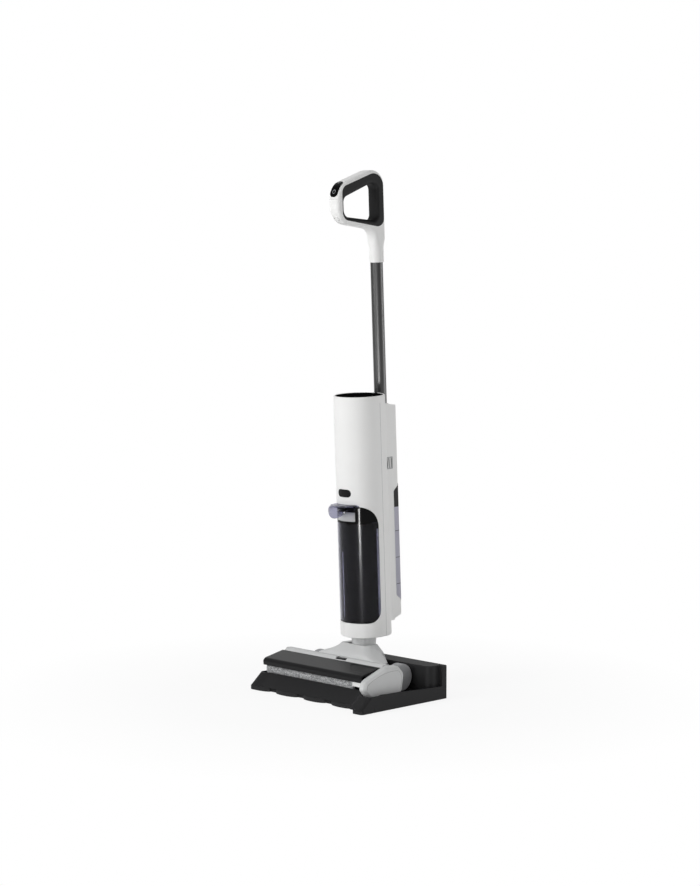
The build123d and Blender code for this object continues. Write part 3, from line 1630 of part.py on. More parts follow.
with BuildPart() as tank_filter:
    with BuildSketch(level(lid_top - tank_wall - filter_long)):
        with Locations((0, filter_v)):
            Circle(filter_r)
    extrude(amount=filter_long)
    with BuildSketch(level(lid_top - tank_wall - filter_long + 3)):
        with Locations((0, filter_v)):
            Circle(air_hole_r - 1)
    extrude(amount=filter_long, mode=Mode.SUBTRACT)
tank_filter.part.label = "tank_filter"
export_step(tank_filter.part, "parts/tank_filter.step")

with BuildPart() as tank_release_button:
    with BuildSketch(level(button_w - button_high)):
        Circle(body_r + button_proud)
        Circle(body_r - button_deep, mode=Mode.SUBTRACT)
    extrude(amount=2 * button_high)
    with BuildSketch(face_on(-body_r - 2)):
        with Locations((0, button_w)):
            SlotOverall(button_long, button_high)
    extrude(amount=-body_r, mode=Mode.INTERSECT)
tank_release_button.part.label = "tank_release_button"
export_step(tank_release_button.part, "parts/tank_release_button.step")


# ================================================================ clean water tank
def clean_tank_form(inset):
    """Body of the clean water tank with its cap, drawn in by inset."""
    outline = rear_opening(tank_gap + inset)
    inner_low = outline[0][1]
    inner_high = outline[1][1]
    inner_front = rear_tank_inner_v + inset
    outer_back = box_back + 1 - inset
    with BuildPart() as form:
        with BuildSketch(level(rear_tank_low - 20)):
            with Locations((0, outer_back - 20)):
                RectangleRounded(2 * (box_half - inset), 40, box_corner - inset)
        extrude(amount=rear_tank_high - rear_tank_low + 40)
        with BuildSketch(flank(-box_half - 1)):
            with BuildLine():
                FilletPolyline(*points_of(outline), radius=radii_of(outline), close=True)
            make_face()
        extrude(amount=2 * box_half + 2, mode=Mode.INTERSECT)
        with BuildSketch(level(inner_low)):
            with Locations((0, (inner_front + outer_back - 10) / 2)):
                RectangleRounded(2 * (rear_tank_inner_half - inset), outer_back - 10 - inner_front, 5)
        extrude(amount=inner_high - inner_low)
    return form.part


clean_tank_outer = clean_tank_form(0)
clean_tank_inner = clean_tank_form(tank_wall)

with BuildPart() as clean_tank:
    add(clean_tank_outer)
    add(clean_tank_inner, mode=Mode.SUBTRACT)
    with BuildSketch(level(cap_w)):
        Rectangle(6 * body_r, 6 * body_r)
    extrude(amount=rear_tank_high, mode=Mode.SUBTRACT)
    with BuildSketch(level(valve_low)):
        with Locations((0, pump_v)):
            Circle(valve_r)
    extrude(amount=valve_long, mode=Mode.SUBTRACT)
clean_tank.part.label = "clean_tank"
export_step(clean_tank.part, "parts/clean_tank.step")

with BuildPart() as clean_tank_cap:
    add(clean_tank_outer)
    add(clean_tank_inner, mode=Mode.SUBTRACT)
    with BuildSketch(level(cap_w - rear_tank_high)):
        Rectangle(6 * body_r, 6 * body_r)
    extrude(amount=rear_tank_high, mode=Mode.SUBTRACT)
clean_tank_cap.part.label = "clean_tank_cap"
export_step(clean_tank_cap.part, "parts/clean_tank_cap.step")

with BuildPart() as clean_tank_valve:
    with BuildSketch(level(valve_low)):
        with Locations((0, pump_v)):
            Circle(valve_r)
    extrude(amount=valve_long)
clean_tank_valve.part.label = "clean_tank_valve"
export_step(clean_tank_valve.part, "parts/clean_tank_valve.step")


# ================================================================ handle
loop_outline = [
    (grip_rear_v, stem_top, 0),
    (grip_rear_v, 993, 32),
    (38, 995, 40),
    (grip_front_v, 967, grip_front_r),
    (grip_front_v - 1, 890, 38),
    (grip_rear_v - stem_deep, 871, 22),
    (grip_rear_v - stem_deep, stem_top, 0),
]
loop_hole = [(56, 972, 14), (-39, 940, 14), (-38.5, 901.7, 16), (56, 889.2, 12)]
grip_ring = [(76, 998, 30), (-45.5, 962.5, 18), (-45.5, 896, 18), (76, 873.5, 20)]


def arc_centre(outline, index):
    """Centre of the round at one corner of an outline."""
    x, y, radius = outline[index]
    before = Vector(outline[index - 1][0] - x, outline[index - 1][1] - y).normalized()
    after = Vector(outline[index + 1][0] - x, outline[index + 1][1] - y).normalized()
    half_angle = radians(before.get_angle(after)) / 2
    middle = (before + after).normalized() * (radius / sin(half_angle))
    return Vector(x, y) + middle


def on_round(centre, radius, angle):
    """Plane on a round of the handle, facing out at an angle above the front."""
    across = Vector(0, -cos(radians(angle)), sin(radians(angle)))
    place = Vector(0, centre.X, centre.Y) + across * radius
    origin = upright.from_local_coords(place)
    outward = upright.from_local_coords(place + across) - origin
    return Plane(origin=origin, x_dir=(1, 0, 0), z_dir=outward)


upper_centre = arc_centre(loop_outline, 3)
lower_centre = arc_centre(loop_outline, 4)
power_plane = on_round(upper_centre, grip_front_r, power_angle)
mode_plane = on_round(upper_centre, grip_front_r, mode_angle)
clean_plane = on_round(lower_centre, 38, clean_angle)
key_places = [(power_plane, power_r), (mode_plane, mode_r)]

with BuildPart() as loop_form:
    with BuildSketch(flank(-grip_half)):
        with BuildLine():
            FilletPolyline(*points_of(loop_outline), radius=radii_of(loop_outline), close=True)
        make_face()
        with BuildLine():
            FilletPolyline(*points_of(loop_hole), radius=radii_of(loop_hole), close=True)
        make_face(mode=Mode.SUBTRACT)
    extrude(amount=2 * grip_half)
    sides = loop_form.faces().filter_by(Axis.X).edges()
    foot = sides.filter_by(lambda e: abs(upright.to_local_coords(e.center()).Z - stem_top) < 0.1)
    fillet([edge for edge in sides if edge not in foot], grip_round)

with BuildPart() as ring_prism:
    with BuildSketch(flank(-grip_half - 5)):
        with BuildLine():
            FilletPolyline(*points_of(grip_ring), radius=radii_of(grip_ring), close=True)
        make_face()
    extrude(amount=2 * grip_half + 10)

pad_reach = 70.0
with BuildPart() as pad_form:
    with BuildSketch(flank(-pad_half)):
        with BuildLine():
            FilletPolyline(*points_of(loop_outline), radius=radii_of(loop_outline), close=True)
        make_face()
        offset(amount=-pad_thick, mode=Mode.SUBTRACT)
        with BuildLine():
            Polyline(
                (upper_centre.X, upper_centre.Y),
                (upper_centre.X - pad_reach, upper_centre.Y + pad_reach * tan(radians(pad_low_angle))),
                (upper_centre.X - pad_reach, upper_centre.Y + 90),
                (upper_centre.X - pad_reach / tan(radians(pad_high_angle)), upper_centre.Y + pad_reach),
                close=True,
            )
        make_face(mode=Mode.INTERSECT)
    extrude(amount=2 * pad_half)
    corners = pad_form.edges().filter_by(GeomType.LINE).filter_by(lambda e: abs(e.length - pad_thick) < 0.1)
    fillet(corners, pad_half - 2.5)

with BuildPart() as control_pad:
    add(pad_form.part)
    for plane, radius in key_places:
        with BuildSketch(plane.offset(-pad_thick - 3)):
            Circle(radius + key_gap)
        extrude(amount=pad_thick + 8, mode=Mode.SUBTRACT)
control_pad.part.label = "control_pad"
export_step(control_pad.part, "parts/control_pad.step")

with BuildPart() as handle_shell:
    add(loop_form.part)
    with BuildSketch(level(stem_round_top)):
        with Locations((0, stem_v)):
            Circle(stem_r)
    with BuildSketch(level(stem_top)):
        with Locations((0, grip_rear_v - stem_deep / 2)):
            RectangleRounded(2 * grip_half, stem_deep, grip_round)
    loft()
    with BuildSketch(level(stem_low)):
        with Locations((0, stem_v)):
            Circle(stem_r)
    extrude(amount=stem_round_top - stem_low)
    with BuildSketch(level(stem_low - 1)):
        with Locations((0, rod_v)):
            Circle(rod_r)
    extrude(amount=rod_plug + 1, mode=Mode.SUBTRACT)
    add(ring_prism.part, mode=Mode.SUBTRACT)
    # seat of the control pad
    add(pad_form.part, mode=Mode.SUBTRACT)
    for plane, radius in key_places:
        with BuildSketch(plane.offset(-key_deep - key_travel - 0.5)):
            Circle(radius + key_gap)
        extrude(amount=key_deep + 6, mode=Mode.SUBTRACT)
    with BuildSketch(clean_plane.offset(-key_deep - key_travel - 0.5)):
        Ellipse(clean_key_half + key_gap, clean_key_high + key_gap)
    extrude(amount=key_deep + 6, mode=Mode.SUBTRACT)
handle_shell.part.label = "handle_shell"
export_step(handle_shell.part, "parts/handle_shell.step")

with BuildPart() as handle_grip:
    add(loop_form.part)
    add(ring_prism.part, mode=Mode.INTERSECT)
handle_grip.part.label = "handle_grip"
export_step(handle_grip.part, "parts/handle_grip.step")

for key_name, plane, radius in (("power_button", power_plane, power_r), ("mode_button", mode_plane, mode_r)):
    with BuildPart() as key:
        with BuildSketch(plane.offset(-key_deep)):
            Circle(radius)
        extrude(amount=key_deep + key_proud)
        fillet(key.edges().group_by(Axis(plane.origin, plane.z_dir))[-1], 0.4)
    key.part.label = key_name
    export_step(key.part, f"parts/{key_name}.step")

with BuildPart() as self_clean_button:
    with BuildSketch(clean_plane.offset(-key_deep)):
        Ellipse(clean_key_half, clean_key_high)
    extrude(amount=key_deep + key_proud)
self_clean_button.part.label = "self_clean_button"
export_step(self_clean_button.part, "parts/self_clean_button.step")
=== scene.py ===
import bpy
import bmesh
import json
from math import ceil, cos, pi, radians, sin
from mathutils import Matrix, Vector, noise


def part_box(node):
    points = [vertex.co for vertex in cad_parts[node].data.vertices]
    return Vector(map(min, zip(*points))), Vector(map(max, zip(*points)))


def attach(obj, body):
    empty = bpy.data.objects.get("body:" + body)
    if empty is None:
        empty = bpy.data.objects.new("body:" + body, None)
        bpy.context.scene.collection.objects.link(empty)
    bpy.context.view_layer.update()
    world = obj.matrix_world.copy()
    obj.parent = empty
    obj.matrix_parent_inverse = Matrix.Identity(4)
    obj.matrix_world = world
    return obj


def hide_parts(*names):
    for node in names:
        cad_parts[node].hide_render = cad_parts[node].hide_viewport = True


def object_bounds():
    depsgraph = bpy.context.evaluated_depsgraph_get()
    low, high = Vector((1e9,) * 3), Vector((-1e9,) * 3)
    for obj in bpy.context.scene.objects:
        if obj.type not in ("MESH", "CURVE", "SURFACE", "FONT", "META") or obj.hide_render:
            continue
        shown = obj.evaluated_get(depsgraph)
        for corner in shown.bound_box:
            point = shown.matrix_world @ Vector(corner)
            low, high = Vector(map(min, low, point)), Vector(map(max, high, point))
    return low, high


# A cordless wet and dry floor washer in its dock: finishes, small details, light and camera.
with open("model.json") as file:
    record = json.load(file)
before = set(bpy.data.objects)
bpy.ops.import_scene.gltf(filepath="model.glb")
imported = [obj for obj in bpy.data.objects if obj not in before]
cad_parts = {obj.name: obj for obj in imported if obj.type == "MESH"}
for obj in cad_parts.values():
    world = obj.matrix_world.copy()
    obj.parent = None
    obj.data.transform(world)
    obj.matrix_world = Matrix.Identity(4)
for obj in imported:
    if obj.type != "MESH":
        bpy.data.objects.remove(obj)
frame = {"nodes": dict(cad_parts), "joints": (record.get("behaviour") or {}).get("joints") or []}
cadLow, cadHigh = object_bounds()
nodes = frame["nodes"]
joints = {joint["name"]: joint for joint in frame["joints"]}
mm = 0.001
scene = bpy.context.scene
scene.view_settings.view_transform = "Standard"
print("frame loaded:", len(nodes), "nodes")

# the leaning frame of the upright: across, to the rear, along the body
bearing = {"rear": -7.3, "along": 28}
alongBody = Vector(joints["swivel"]["axis"]).normalized()
toRear = Vector((0, alongBody.z, -alongBody.y))
bodyFoot = Vector(joints["swivel"]["pos_m"]) - (toRear * bearing["rear"] + alongBody * bearing["along"]) * mm


def onBody(across, rear, along):
    return bodyFoot + (Vector((across, 0, 0)) + toRear * rear + alongBody * along) * mm


def toLinear(hexText):
    parts = [int(hexText[i:i + 2], 16) / 255 for i in (1, 3, 5)]
    return tuple(c / 12.92 if c <= 0.04045 else ((c + 0.055) / 1.055) ** 2.4 for c in parts) + (1,)


def addNode(tree, kind, settings=None, links=None):
    node = tree.nodes.new(kind)
    for key, value in (settings or {}).items():
        if key in node.inputs.keys():
            node.inputs[key].default_value = value
        else:
            setattr(node, key, value)
    for key, source in (links or {}).items():
        tree.links.new(source, node.inputs[key])
    return node


def newMaterial(name, look):
    material = bpy.data.materials.new(name)
    material.use_nodes = True
    tree = material.node_tree
    tree.nodes.clear()
    shader = addNode(tree, "ShaderNodeBsdfPrincipled", look)
    addNode(tree, "ShaderNodeOutputMaterial", links={"Surface": shader.outputs["BSDF"]})
    return material, tree, shader


def rampBetween(tree, factor, low, high, start=0.0, end=1.0):
    ramp = addNode(tree, "ShaderNodeValToRGB", links={"Fac": factor})
    for stop, place, colour in zip(ramp.color_ramp.elements, (start, end), (low, high)):
        stop.position = place
        stop.color = colour
    return ramp.outputs["Color"]


moulded = {"broad": 60, "broadLow": 0.3, "broadHigh": 0.7, "bump": 0.2, "bevelSamples": 4}


def grainedSurface(name, look, colour, grain, depth, edge, mottle=0.03, spread=0.06):
    # grain, depth and edge in mm: the mould's texture, and the softened edge of a moulded wall
    material, tree, shader = newMaterial(name, look)
    place = addNode(tree, "ShaderNodeTexCoord").outputs["Object"]
    fine = addNode(tree, "ShaderNodeTexNoise", {"Scale": 1 / (grain * mm), "Detail": 1.0},
                   {"Vector": place})
    broad = addNode(tree, "ShaderNodeTexNoise", {"Scale": 1 / (moulded["broad"] * mm), "Detail": 2.0},
                    {"Vector": place})
    full = toLinear(colour)
    dull = tuple(c * (1 - mottle) for c in full[:3]) + (1,)
    shade = rampBetween(tree, broad.outputs["Fac"], dull, full, moulded["broadLow"], moulded["broadHigh"])
    tree.links.new(shade, shader.inputs["Base Color"])
    rough = addNode(tree, "ShaderNodeMapRange", {"To Min": look["Roughness"] - spread,
                                                 "To Max": look["Roughness"] + spread},
                    {"Value": fine.outputs["Fac"]})
    tree.links.new(rough.outputs["Result"], shader.inputs["Roughness"])
    rounded = addNode(tree, "ShaderNodeBevel", {"Radius": edge * mm, "samples": moulded["bevelSamples"]})
    bump = addNode(tree, "ShaderNodeBump", {"Strength": moulded["bump"], "Distance": depth * mm},
                   {"Height": fine.outputs["Fac"], "Normal": rounded.outputs["Normal"]})
    tree.links.new(bump.outputs["Normal"], shader.inputs["Normal"])
    return material


def satin(roughness, level=0.5, ior=1.54, **more):
    look = {"Roughness": roughness, "IOR": ior, "Specular IOR Level": level}
    look.update({key.replace("_", " "): value for key, value in more.items()})
    return look


# moulded ABS with a satin skin: a broad soft sheen, no grain at arm's length
whiteAbs = grainedSurface("whiteMouldedAbs", satin(0.5, 0.12), "#F2F2F1", 0.7, 0.01, 0.7, 0.012)
# spark-textured ABS of the head: the same white a shade down, flat and slightly dusty
greyAbs = grainedSurface("paleSparkTexturedAbs", satin(0.55, 0.3), "#D2D3D3", 0.8, 0.05, 0.6)
# the neck is glass-filled nylon, written paler than the head because it stands in shade
neckGrey = grainedSurface("greyGlassFilledNylon", satin(0.55, 0.3, 1.53), "#E2E3E3", 0.8, 0.06, 0.6)
# grey ABS of the side vents, behind the pale louvre bars
ventGrey = grainedSurface("greyVentAbs", satin(0.6, 0.3), "#B4B5B6", 0.8, 0.05, 0.4)
# charcoal ABS of the dock: coarse spark texture that scatters the light evenly
dockAbs = grainedSurface("charcoalTexturedAbs", satin(0.6, 0.12), "#2A2A2B", 1.0, 0.08, 0.8)
# charcoal ABS of the roller cover: finer grain and a wide soft edge, which draws a paler line
coverAbs = grainedSurface("charcoalSatinAbs", satin(0.36, 0.1), "#222223", 0.6, 0.03, 3.0)
# black polycarbonate blend: satin, with a weak highlight
blackPc = grainedSurface("blackSatinPolycarbonate", satin(0.38, 0.1, 1.58), "#131314", 0.8, 0.04, 0.5)
# polished black polycarbonate of the tank lid: dark, with the same tall highlight as the tank below
lidPc = grainedSurface("blackPolishedPolycarbonate", satin(0.12, 0.06, 1.58), "#09090A", 2.0, 0.01, 0.5,
                       0.03, 0.03)
# soft-touch overmould of the grip: matt, with a weak highlight
softTouch = grainedSurface("blackSoftTouchElastomer", satin(0.6, 0.2, 1.5), "#1D1D1E", 0.6, 0.05, 0.6)
# polished acrylic over the keys
blackAcrylic = grainedSurface("blackPolishedAcrylic", satin(0.14, 0.12, 1.49), "#0A0A0B", 3.0, 0.004, 0.4,
                              0.02, 0.02)
# anti-glare acrylic over the display: stays black even at a low angle
displayAcrylic = grainedSurface("blackAntiGlareAcrylic", satin(0.5, 0.0, 1.49), "#0A0A0B", 3.0, 0.004, 0.4)
# inner mouldings in black nylon: dull, so the tank in front of them reads dark
innerNylon = grainedSurface("blackInnerNylon", satin(0.6, 0.1, 1.53), "#0B0B0C", 1.0, 0.05, 0.4)
# grey TPE tyre: matt with a faint bloom
tyreTpe = grainedSurface("greyTpeTyre", satin(0.7, 0.3, 1.5, Sheen_Weight=0.1), "#A0A1A3", 0.9, 0.09, 0.8)
# nitrile rubber: dead black and matt
rubber = grainedSurface("blackNitrileRubber", satin(0.75, 0.3, 1.52), "#171718", 0.8, 0.06, 0.5)
# black anodised aluminium tube: a broad pale streak down a dark tube
blackTube = grainedSurface("blackAnodisedTube", satin(0.36, 0.9, 1.6), "#0A0A0B", 0.9, 0.02, 0.4, 0.04, 0.03)
# plated steel screws and axles
zincSteel = grainedSurface("zincPlatedSteel", {"Roughness": 0.3, "Metallic": 1.0}, "#C4C6C8",
                           0.8, 0.02, 0.3, 0.1)
goldContact = grainedSurface("goldPlatedContact", {"Roughness": 0.22, "Metallic": 1.0}, "#E0BC6A",
                             0.8, 0.01, 0.2)
steelCan = grainedSurface("drawnSteelCan", {"Roughness": 0.32, "Metallic": 1.0}, "#9A9C9E",
                          1.2, 0.02, 0.5, 0.08)
circuitBoard = grainedSurface("solderMaskedBoard", satin(0.4, 0.5, 1.55), "#14502F", 2.0, 0.03, 0.2, 0.25)
cellWrap = grainedSurface("blueHeatShrinkWrap", satin(0.3, 0.5, 1.5), "#254C86", 4.0, 0.1, 0.8, 0.1)
filterPaper = grainedSurface("pleatedFilterPaper", satin(0.9, 0.3, 1.5), "#E4E2DA", 0.6, 0.15, 0.6, 0.08)
# pad-printed marks: a thin dull grey film
paleInk = grainedSurface("greyPrintedInk", satin(0.5, 0.3, 1.5), "#8E9094", 1.0, 0.005, 0.05)
darkInk = grainedSurface("darkPrintedInk", satin(0.5, 0.3, 1.5), "#2E2E3A", 1.0, 0.005, 0.05)
# grey lines where two mouldings meet
seamShade = grainedSurface("greyPartingLine", satin(0.7, 0.2), "#9FA0A1", 1.0, 0.01, 0.05)
# milky lavender polypropylene behind the clear wall
lavenderPp = grainedSurface("lavenderPolypropylene", satin(0.5, 0.3, 1.49), "#EFEEF6", 2.0, 0.02, 0.2)


clearWall = {"wave": 25, "bump": 0.12, "depth": 0.1}


def clearPlastic(name, look, colour, edge):
    # a slow waviness of the moulded wall bends what lies behind it a little
    material, tree, shader = newMaterial(name, look)
    shader.inputs["Base Color"].default_value = toLinear(colour)
    place = addNode(tree, "ShaderNodeTexCoord").outputs["Object"]
    flow = addNode(tree, "ShaderNodeTexNoise", {"Scale": 1 / (clearWall["wave"] * mm), "Detail": 2.0},
                   {"Vector": place})
    rounded = addNode(tree, "ShaderNodeBevel", {"Radius": edge * mm, "samples": moulded["bevelSamples"]})
    bump = addNode(tree, "ShaderNodeBump",
                   {"Strength": clearWall["bump"], "Distance": clearWall["depth"] * mm},
                   {"Height": flow.outputs["Fac"], "Normal": rounded.outputs["Normal"]})
    tree.links.new(bump.outputs["Normal"], shader.inputs["Normal"])
    return material


# smoke-tinted SAN: nearly black over the dark inside, lavender where a pale part lies behind it
smokeSan = clearPlastic("smokeTintedSan", {"Roughness": 0.17, "IOR": 1.24, "Transmission Weight": 1.0},
                        "#B9B9CA", 0.5)
# the lid's grip is a thicker moulding of it, so a deeper smoke
gripSan = clearPlastic("deepSmokeSan", {"Roughness": 0.2, "IOR": 1.2, "Transmission Weight": 1.0},
                        "#9C9CB0", 0.5)
# the clean tank's SAN is paler and a little frosted
clearSan = clearPlastic("paleFrostedSan", {"Roughness": 0.35, "IOR": 1.25, "Transmission Weight": 0.3},
                        "#C9C8D6", 0.5)


def pileMaterial():
    # microfibre pile: grey and white yarns mixed, so it looks speckled; tufts drawn at about twice
    # their real size, or the speckle would average out
    look = {"yarn": 1.7, "dark": "#6E6F71", "pale": "#C0C1C2", "darkEnd": 0.2, "paleEnd": 0.8,
            "bump": 0.7, "depth": 0.5}
    material, tree, shader = newMaterial("speckledMicrofibrePile", {"Roughness": 0.9, "Sheen Weight": 0.3})
    place = addNode(tree, "ShaderNodeTexCoord").outputs["Object"]
    tufts = addNode(tree, "ShaderNodeTexVoronoi", {"Scale": 1 / (look["yarn"] * mm)}, {"Vector": place})
    grey = addNode(tree, "ShaderNodeSeparateColor", links={"Color": tufts.outputs["Color"]})
    shade = rampBetween(tree, grey.outputs["Red"], toLinear(look["dark"]), toLinear(look["pale"]),
                        look["darkEnd"], look["paleEnd"])
    tree.links.new(shade, shader.inputs["Base Color"])
    bump = addNode(tree, "ShaderNodeBump",
                   {"Strength": look["bump"], "Distance": look["depth"] * mm, "invert": True},
                   {"Height": tufts.outputs["Distance"]})
    tree.links.new(bump.outputs["Normal"], shader.inputs["Normal"])
    return material


pile = pileMaterial()

finishes = {
    whiteAbs: ["front_shell", "rear_shell", "handle_shell", "self_clean_button", "roller_bracket"],
    greyAbs: ["head_housing", "drive_end_cap"],
    neckGrey: ["neck_joint"],
    ventGrey: ["vent_grilles"],
    dockAbs: ["dock_base", "dock_tower", "dock_bottom_plate", "dock_wash_tray"],
    coverAbs: ["roller_cover", "cover_latch"],
    blackPc: ["clean_tank_cap", "tank_release_button", "clean_tank_valve", "dock_power_inlet"],
    lidPc: ["tank_lid"],
    softTouch: ["handle_grip"],
    blackAcrylic: ["control_pad", "power_button", "mode_button"],
    displayAcrylic: ["display_lens"],
    innerNylon: ["inner_frame", "tank_inlet_tube", "tank_float", "head_chassis", "suction_duct", "water_bar",
                 "roller_core", "roller_pulley", "motor_pulley", "roller_end_plug", "water_pump"],
    tyreTpe: ["wheel_left", "wheel_right"],
    rubber: ["dock_feet", "scraper_blade", "drive_belt", "neck_hose"],
    blackTube: ["rod"],
    zincSteel: ["dock_screws", "wheel_axles", "hinge_pins"],
    goldContact: ["dock_contact_pins", "head_contacts"],
    steelCan: ["roller_motor", "suction_motor"],
    circuitBoard: ["dock_circuit_board", "main_board", "display_board"],
    cellWrap: ["battery_pack"],
    filterPaper: ["exhaust_filter", "tank_filter"],
    smokeSan: ["dirty_tank"],
    gripSan: ["tank_grip"],
    clearSan: ["clean_tank"],
    pile: ["roller_sleeve"],
}
for material, names in finishes.items():
    for name in names:
        slots = nodes[name].data.materials
        slots.clear()
        slots.append(material)
print("finishes on", sum(len(names) for names in finishes.values()), "nodes")


def finishMesh(form, name, smooth=False):
    bmesh.ops.recalc_face_normals(form, faces=form.faces[:])
    mesh = bpy.data.meshes.new(name)
    form.to_mesh(mesh)
    form.free()
    for face in mesh.polygons:
        face.use_smooth = smooth
    return mesh


def addPiece(name, mesh, material, body):
    piece = bpy.data.objects.new(name, mesh)
    scene.collection.objects.link(piece)
    mesh.materials.append(material)
    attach(piece, body)
    return piece


def joinRings(form, rings, closed=False):
    # rings of equal length become a skin; the ends are capped unless the skin closes on itself
    pairs = list(zip(rings, rings[1:])) + ([(rings[-1], rings[0])] if closed else [])
    for a, b in pairs:
        for k in range(len(a)):
            form.faces.new((a[k], a[(k + 1) % len(a)], b[(k + 1) % len(b)], b[k]))
    if not closed:
        form.faces.new(rings[0][::-1])
        form.faces.new(rings[-1])


def curvedPlate(form, low, high, start, end, inner, outer):
    # a plate on the round body between two angles from the front and two heights, in mm
    steps = max(2, ceil(abs(end - start) / 2))
    rings = []
    for step in range(steps + 1):
        angle = radians(start + (end - start) * step / steps)
        corners = [(inner, low), (outer, low), (outer, high), (inner, high)]
        rings.append([form.verts.new(onBody(r * sin(angle), -r * cos(angle), w)) for r, w in corners])
    joinRings(form, rings)


# dirty water tank: a black sheet just behind the clear wall is painted shade, which keeps the tank as dark as
# its shaded inside; pale guides at its edges show as lavender stripes, and there are level marks on the wall
tankShadeSheet = {"inner": 49.6, "outer": 51.2, "low": 54, "high": 262, "guideThick": 0.8,
          "dark": [(-82, -17), (-11, 78)], "above": (-17, -11, 200),
          "guides": [(-17, -12, 60, 200), (78, 85, 66, 250)]}


def makeTankShadeSheet():
    form = bmesh.new()
    for start, end in tankShadeSheet["dark"]:
        curvedPlate(form, tankShadeSheet["low"], tankShadeSheet["high"], start, end,
                    tankShadeSheet["inner"], tankShadeSheet["outer"])
    start, end, low = tankShadeSheet["above"]
    curvedPlate(form, low, tankShadeSheet["high"], start, end, tankShadeSheet["inner"], tankShadeSheet["outer"])
    # the black sheet behind the clear wall: painted shade
    addPiece("dirty_tank_painted_shade", finishMesh(form, "dirtyTankPaintedShade", True), innerNylon,
             "dirty_tank")
    form = bmesh.new()
    for start, end, low, high in tankShadeSheet["guides"]:
        curvedPlate(form, low, high, start, end, tankShadeSheet["inner"], tankShadeSheet["inner"] + tankShadeSheet["guideThick"])
    addPiece("dirty_tank_guides", finishMesh(form, "dirtyTankGuides", True), lavenderPp,
             "dirty_tank")


tankMarks = {"front": 53.65, "sunk": 0.3, "raised": 0.15, "high": 1.0, "pitch": 32.2,
             "right": (262.8, 6, 66, 80), "left": (178, 4, -21, -10)}


def makeTankMarks():
    form = bmesh.new()
    radius = tankMarks["front"]
    for side in ("right", "left"):
        top, count, start, end = tankMarks[side]
        for row in range(count):
            w = top - row * tankMarks["pitch"]
            curvedPlate(form, w, w + tankMarks["high"], start, end,
                        radius - tankMarks["sunk"], radius + tankMarks["raised"])
    addPiece("dirty_tank_level_marks", finishMesh(form, "dirtyTankMarks"), darkInk,
             "dirty_tank")


lidBand = {"low": 267, "high": 286, "half": 28, "inner": 52.9, "outer": 53.85}


def makeLidBand():
    form = bmesh.new()
    curvedPlate(form, lidBand["low"], lidBand["high"], -lidBand["half"], lidBand["half"],
                lidBand["inner"], lidBand["outer"])
    addPiece("tank_lid_band", finishMesh(form, "tankLidBand", True), greyAbs, "dirty_tank")


makeTankShadeSheet()
makeTankMarks()
makeLidBand()
print("dirty tank done")

# clean water tank: level marks on both flanks, and painted shade at its rear corners
cleanMarks = {"flank": 33.0, "sunk": 0.3, "raised": 0.1, "front": 62.5, "rear": 74.5, "high": 1.0,
              "levels": (233.5, 176.5, 119.5)}


def boxBetween(form, low, high):
    corners = [(low[0], low[1]), (high[0], low[1]), (high[0], high[1]), (low[0], high[1])]
    rings = [[form.verts.new(onBody(x, y, z)) for x, y in corners] for z in (low[2], high[2])]
    joinRings(form, rings)


def makeCleanMarks():
    form = bmesh.new()
    for side in (-1, 1):
        inner, outer = sorted((side * (cleanMarks["flank"] - cleanMarks["sunk"]),
                               side * (cleanMarks["flank"] + cleanMarks["raised"])))
        for level in cleanMarks["levels"]:
            boxBetween(form, (inner, cleanMarks["front"], level),
                       (outer, cleanMarks["rear"], level + cleanMarks["high"]))
    addPiece("clean_tank_level_marks", finishMesh(form, "cleanTankMarks"), darkInk,
             "clean_tank")


# painted shade at the clean tank's rear corners: where the dark bands sit and how wide they are
cleanEdgeShade = {"centre": (25.0, 71.0), "radius": 8.0, "sunk": 0.3, "raised": 0.06, "from": 30, "to": 88,
            "low": 92, "high": 283, "steps": 8}


def makeCleanEdgeShade():
    # painted shade: dark bands round the rear corners, where the clear wall meets the back panel and turns
    # away, so the tank darkens towards its edge
    form = bmesh.new()
    across, rear = cleanEdgeShade["centre"]
    for side in (-1, 1):
        rings = []
        for step in range(cleanEdgeShade["steps"] + 1):
            angle = radians(cleanEdgeShade["from"] + (cleanEdgeShade["to"] - cleanEdgeShade["from"]) * step / cleanEdgeShade["steps"])
            ring = []
            for r, w in ((-cleanEdgeShade["sunk"], cleanEdgeShade["low"]), (cleanEdgeShade["raised"], cleanEdgeShade["low"]),
                         (cleanEdgeShade["raised"], cleanEdgeShade["high"]), (-cleanEdgeShade["sunk"], cleanEdgeShade["high"])):
                reach = cleanEdgeShade["radius"] + r
                ring.append(form.verts.new(onBody(side * (across + cos(angle) * reach),
                                                  rear + sin(angle) * reach, w)))
            rings.append(ring)
        joinRings(form, rings)
    addPiece("clean_tank_painted_edge_shade", finishMesh(form, "cleanTankPaintedEdgeShade", True), blackPc, "clean_tank")


makeCleanMarks()
makeCleanEdgeShade()
print("clean tank done")

# shells: the parting line between the two halves, and pale louvre bars in front of the side vents
shellSeam = {"angle": 98.0, "wide": 0.7, "low": 20, "high": 513, "inner": 53.7, "outer": 54.04}
louvre = {"flank": 33.0, "sunk": 0.3, "raised": 0.25, "high": 22, "wide": 2.2, "slant": 2.0,
          "offsets": (-4.0, 2.5)}


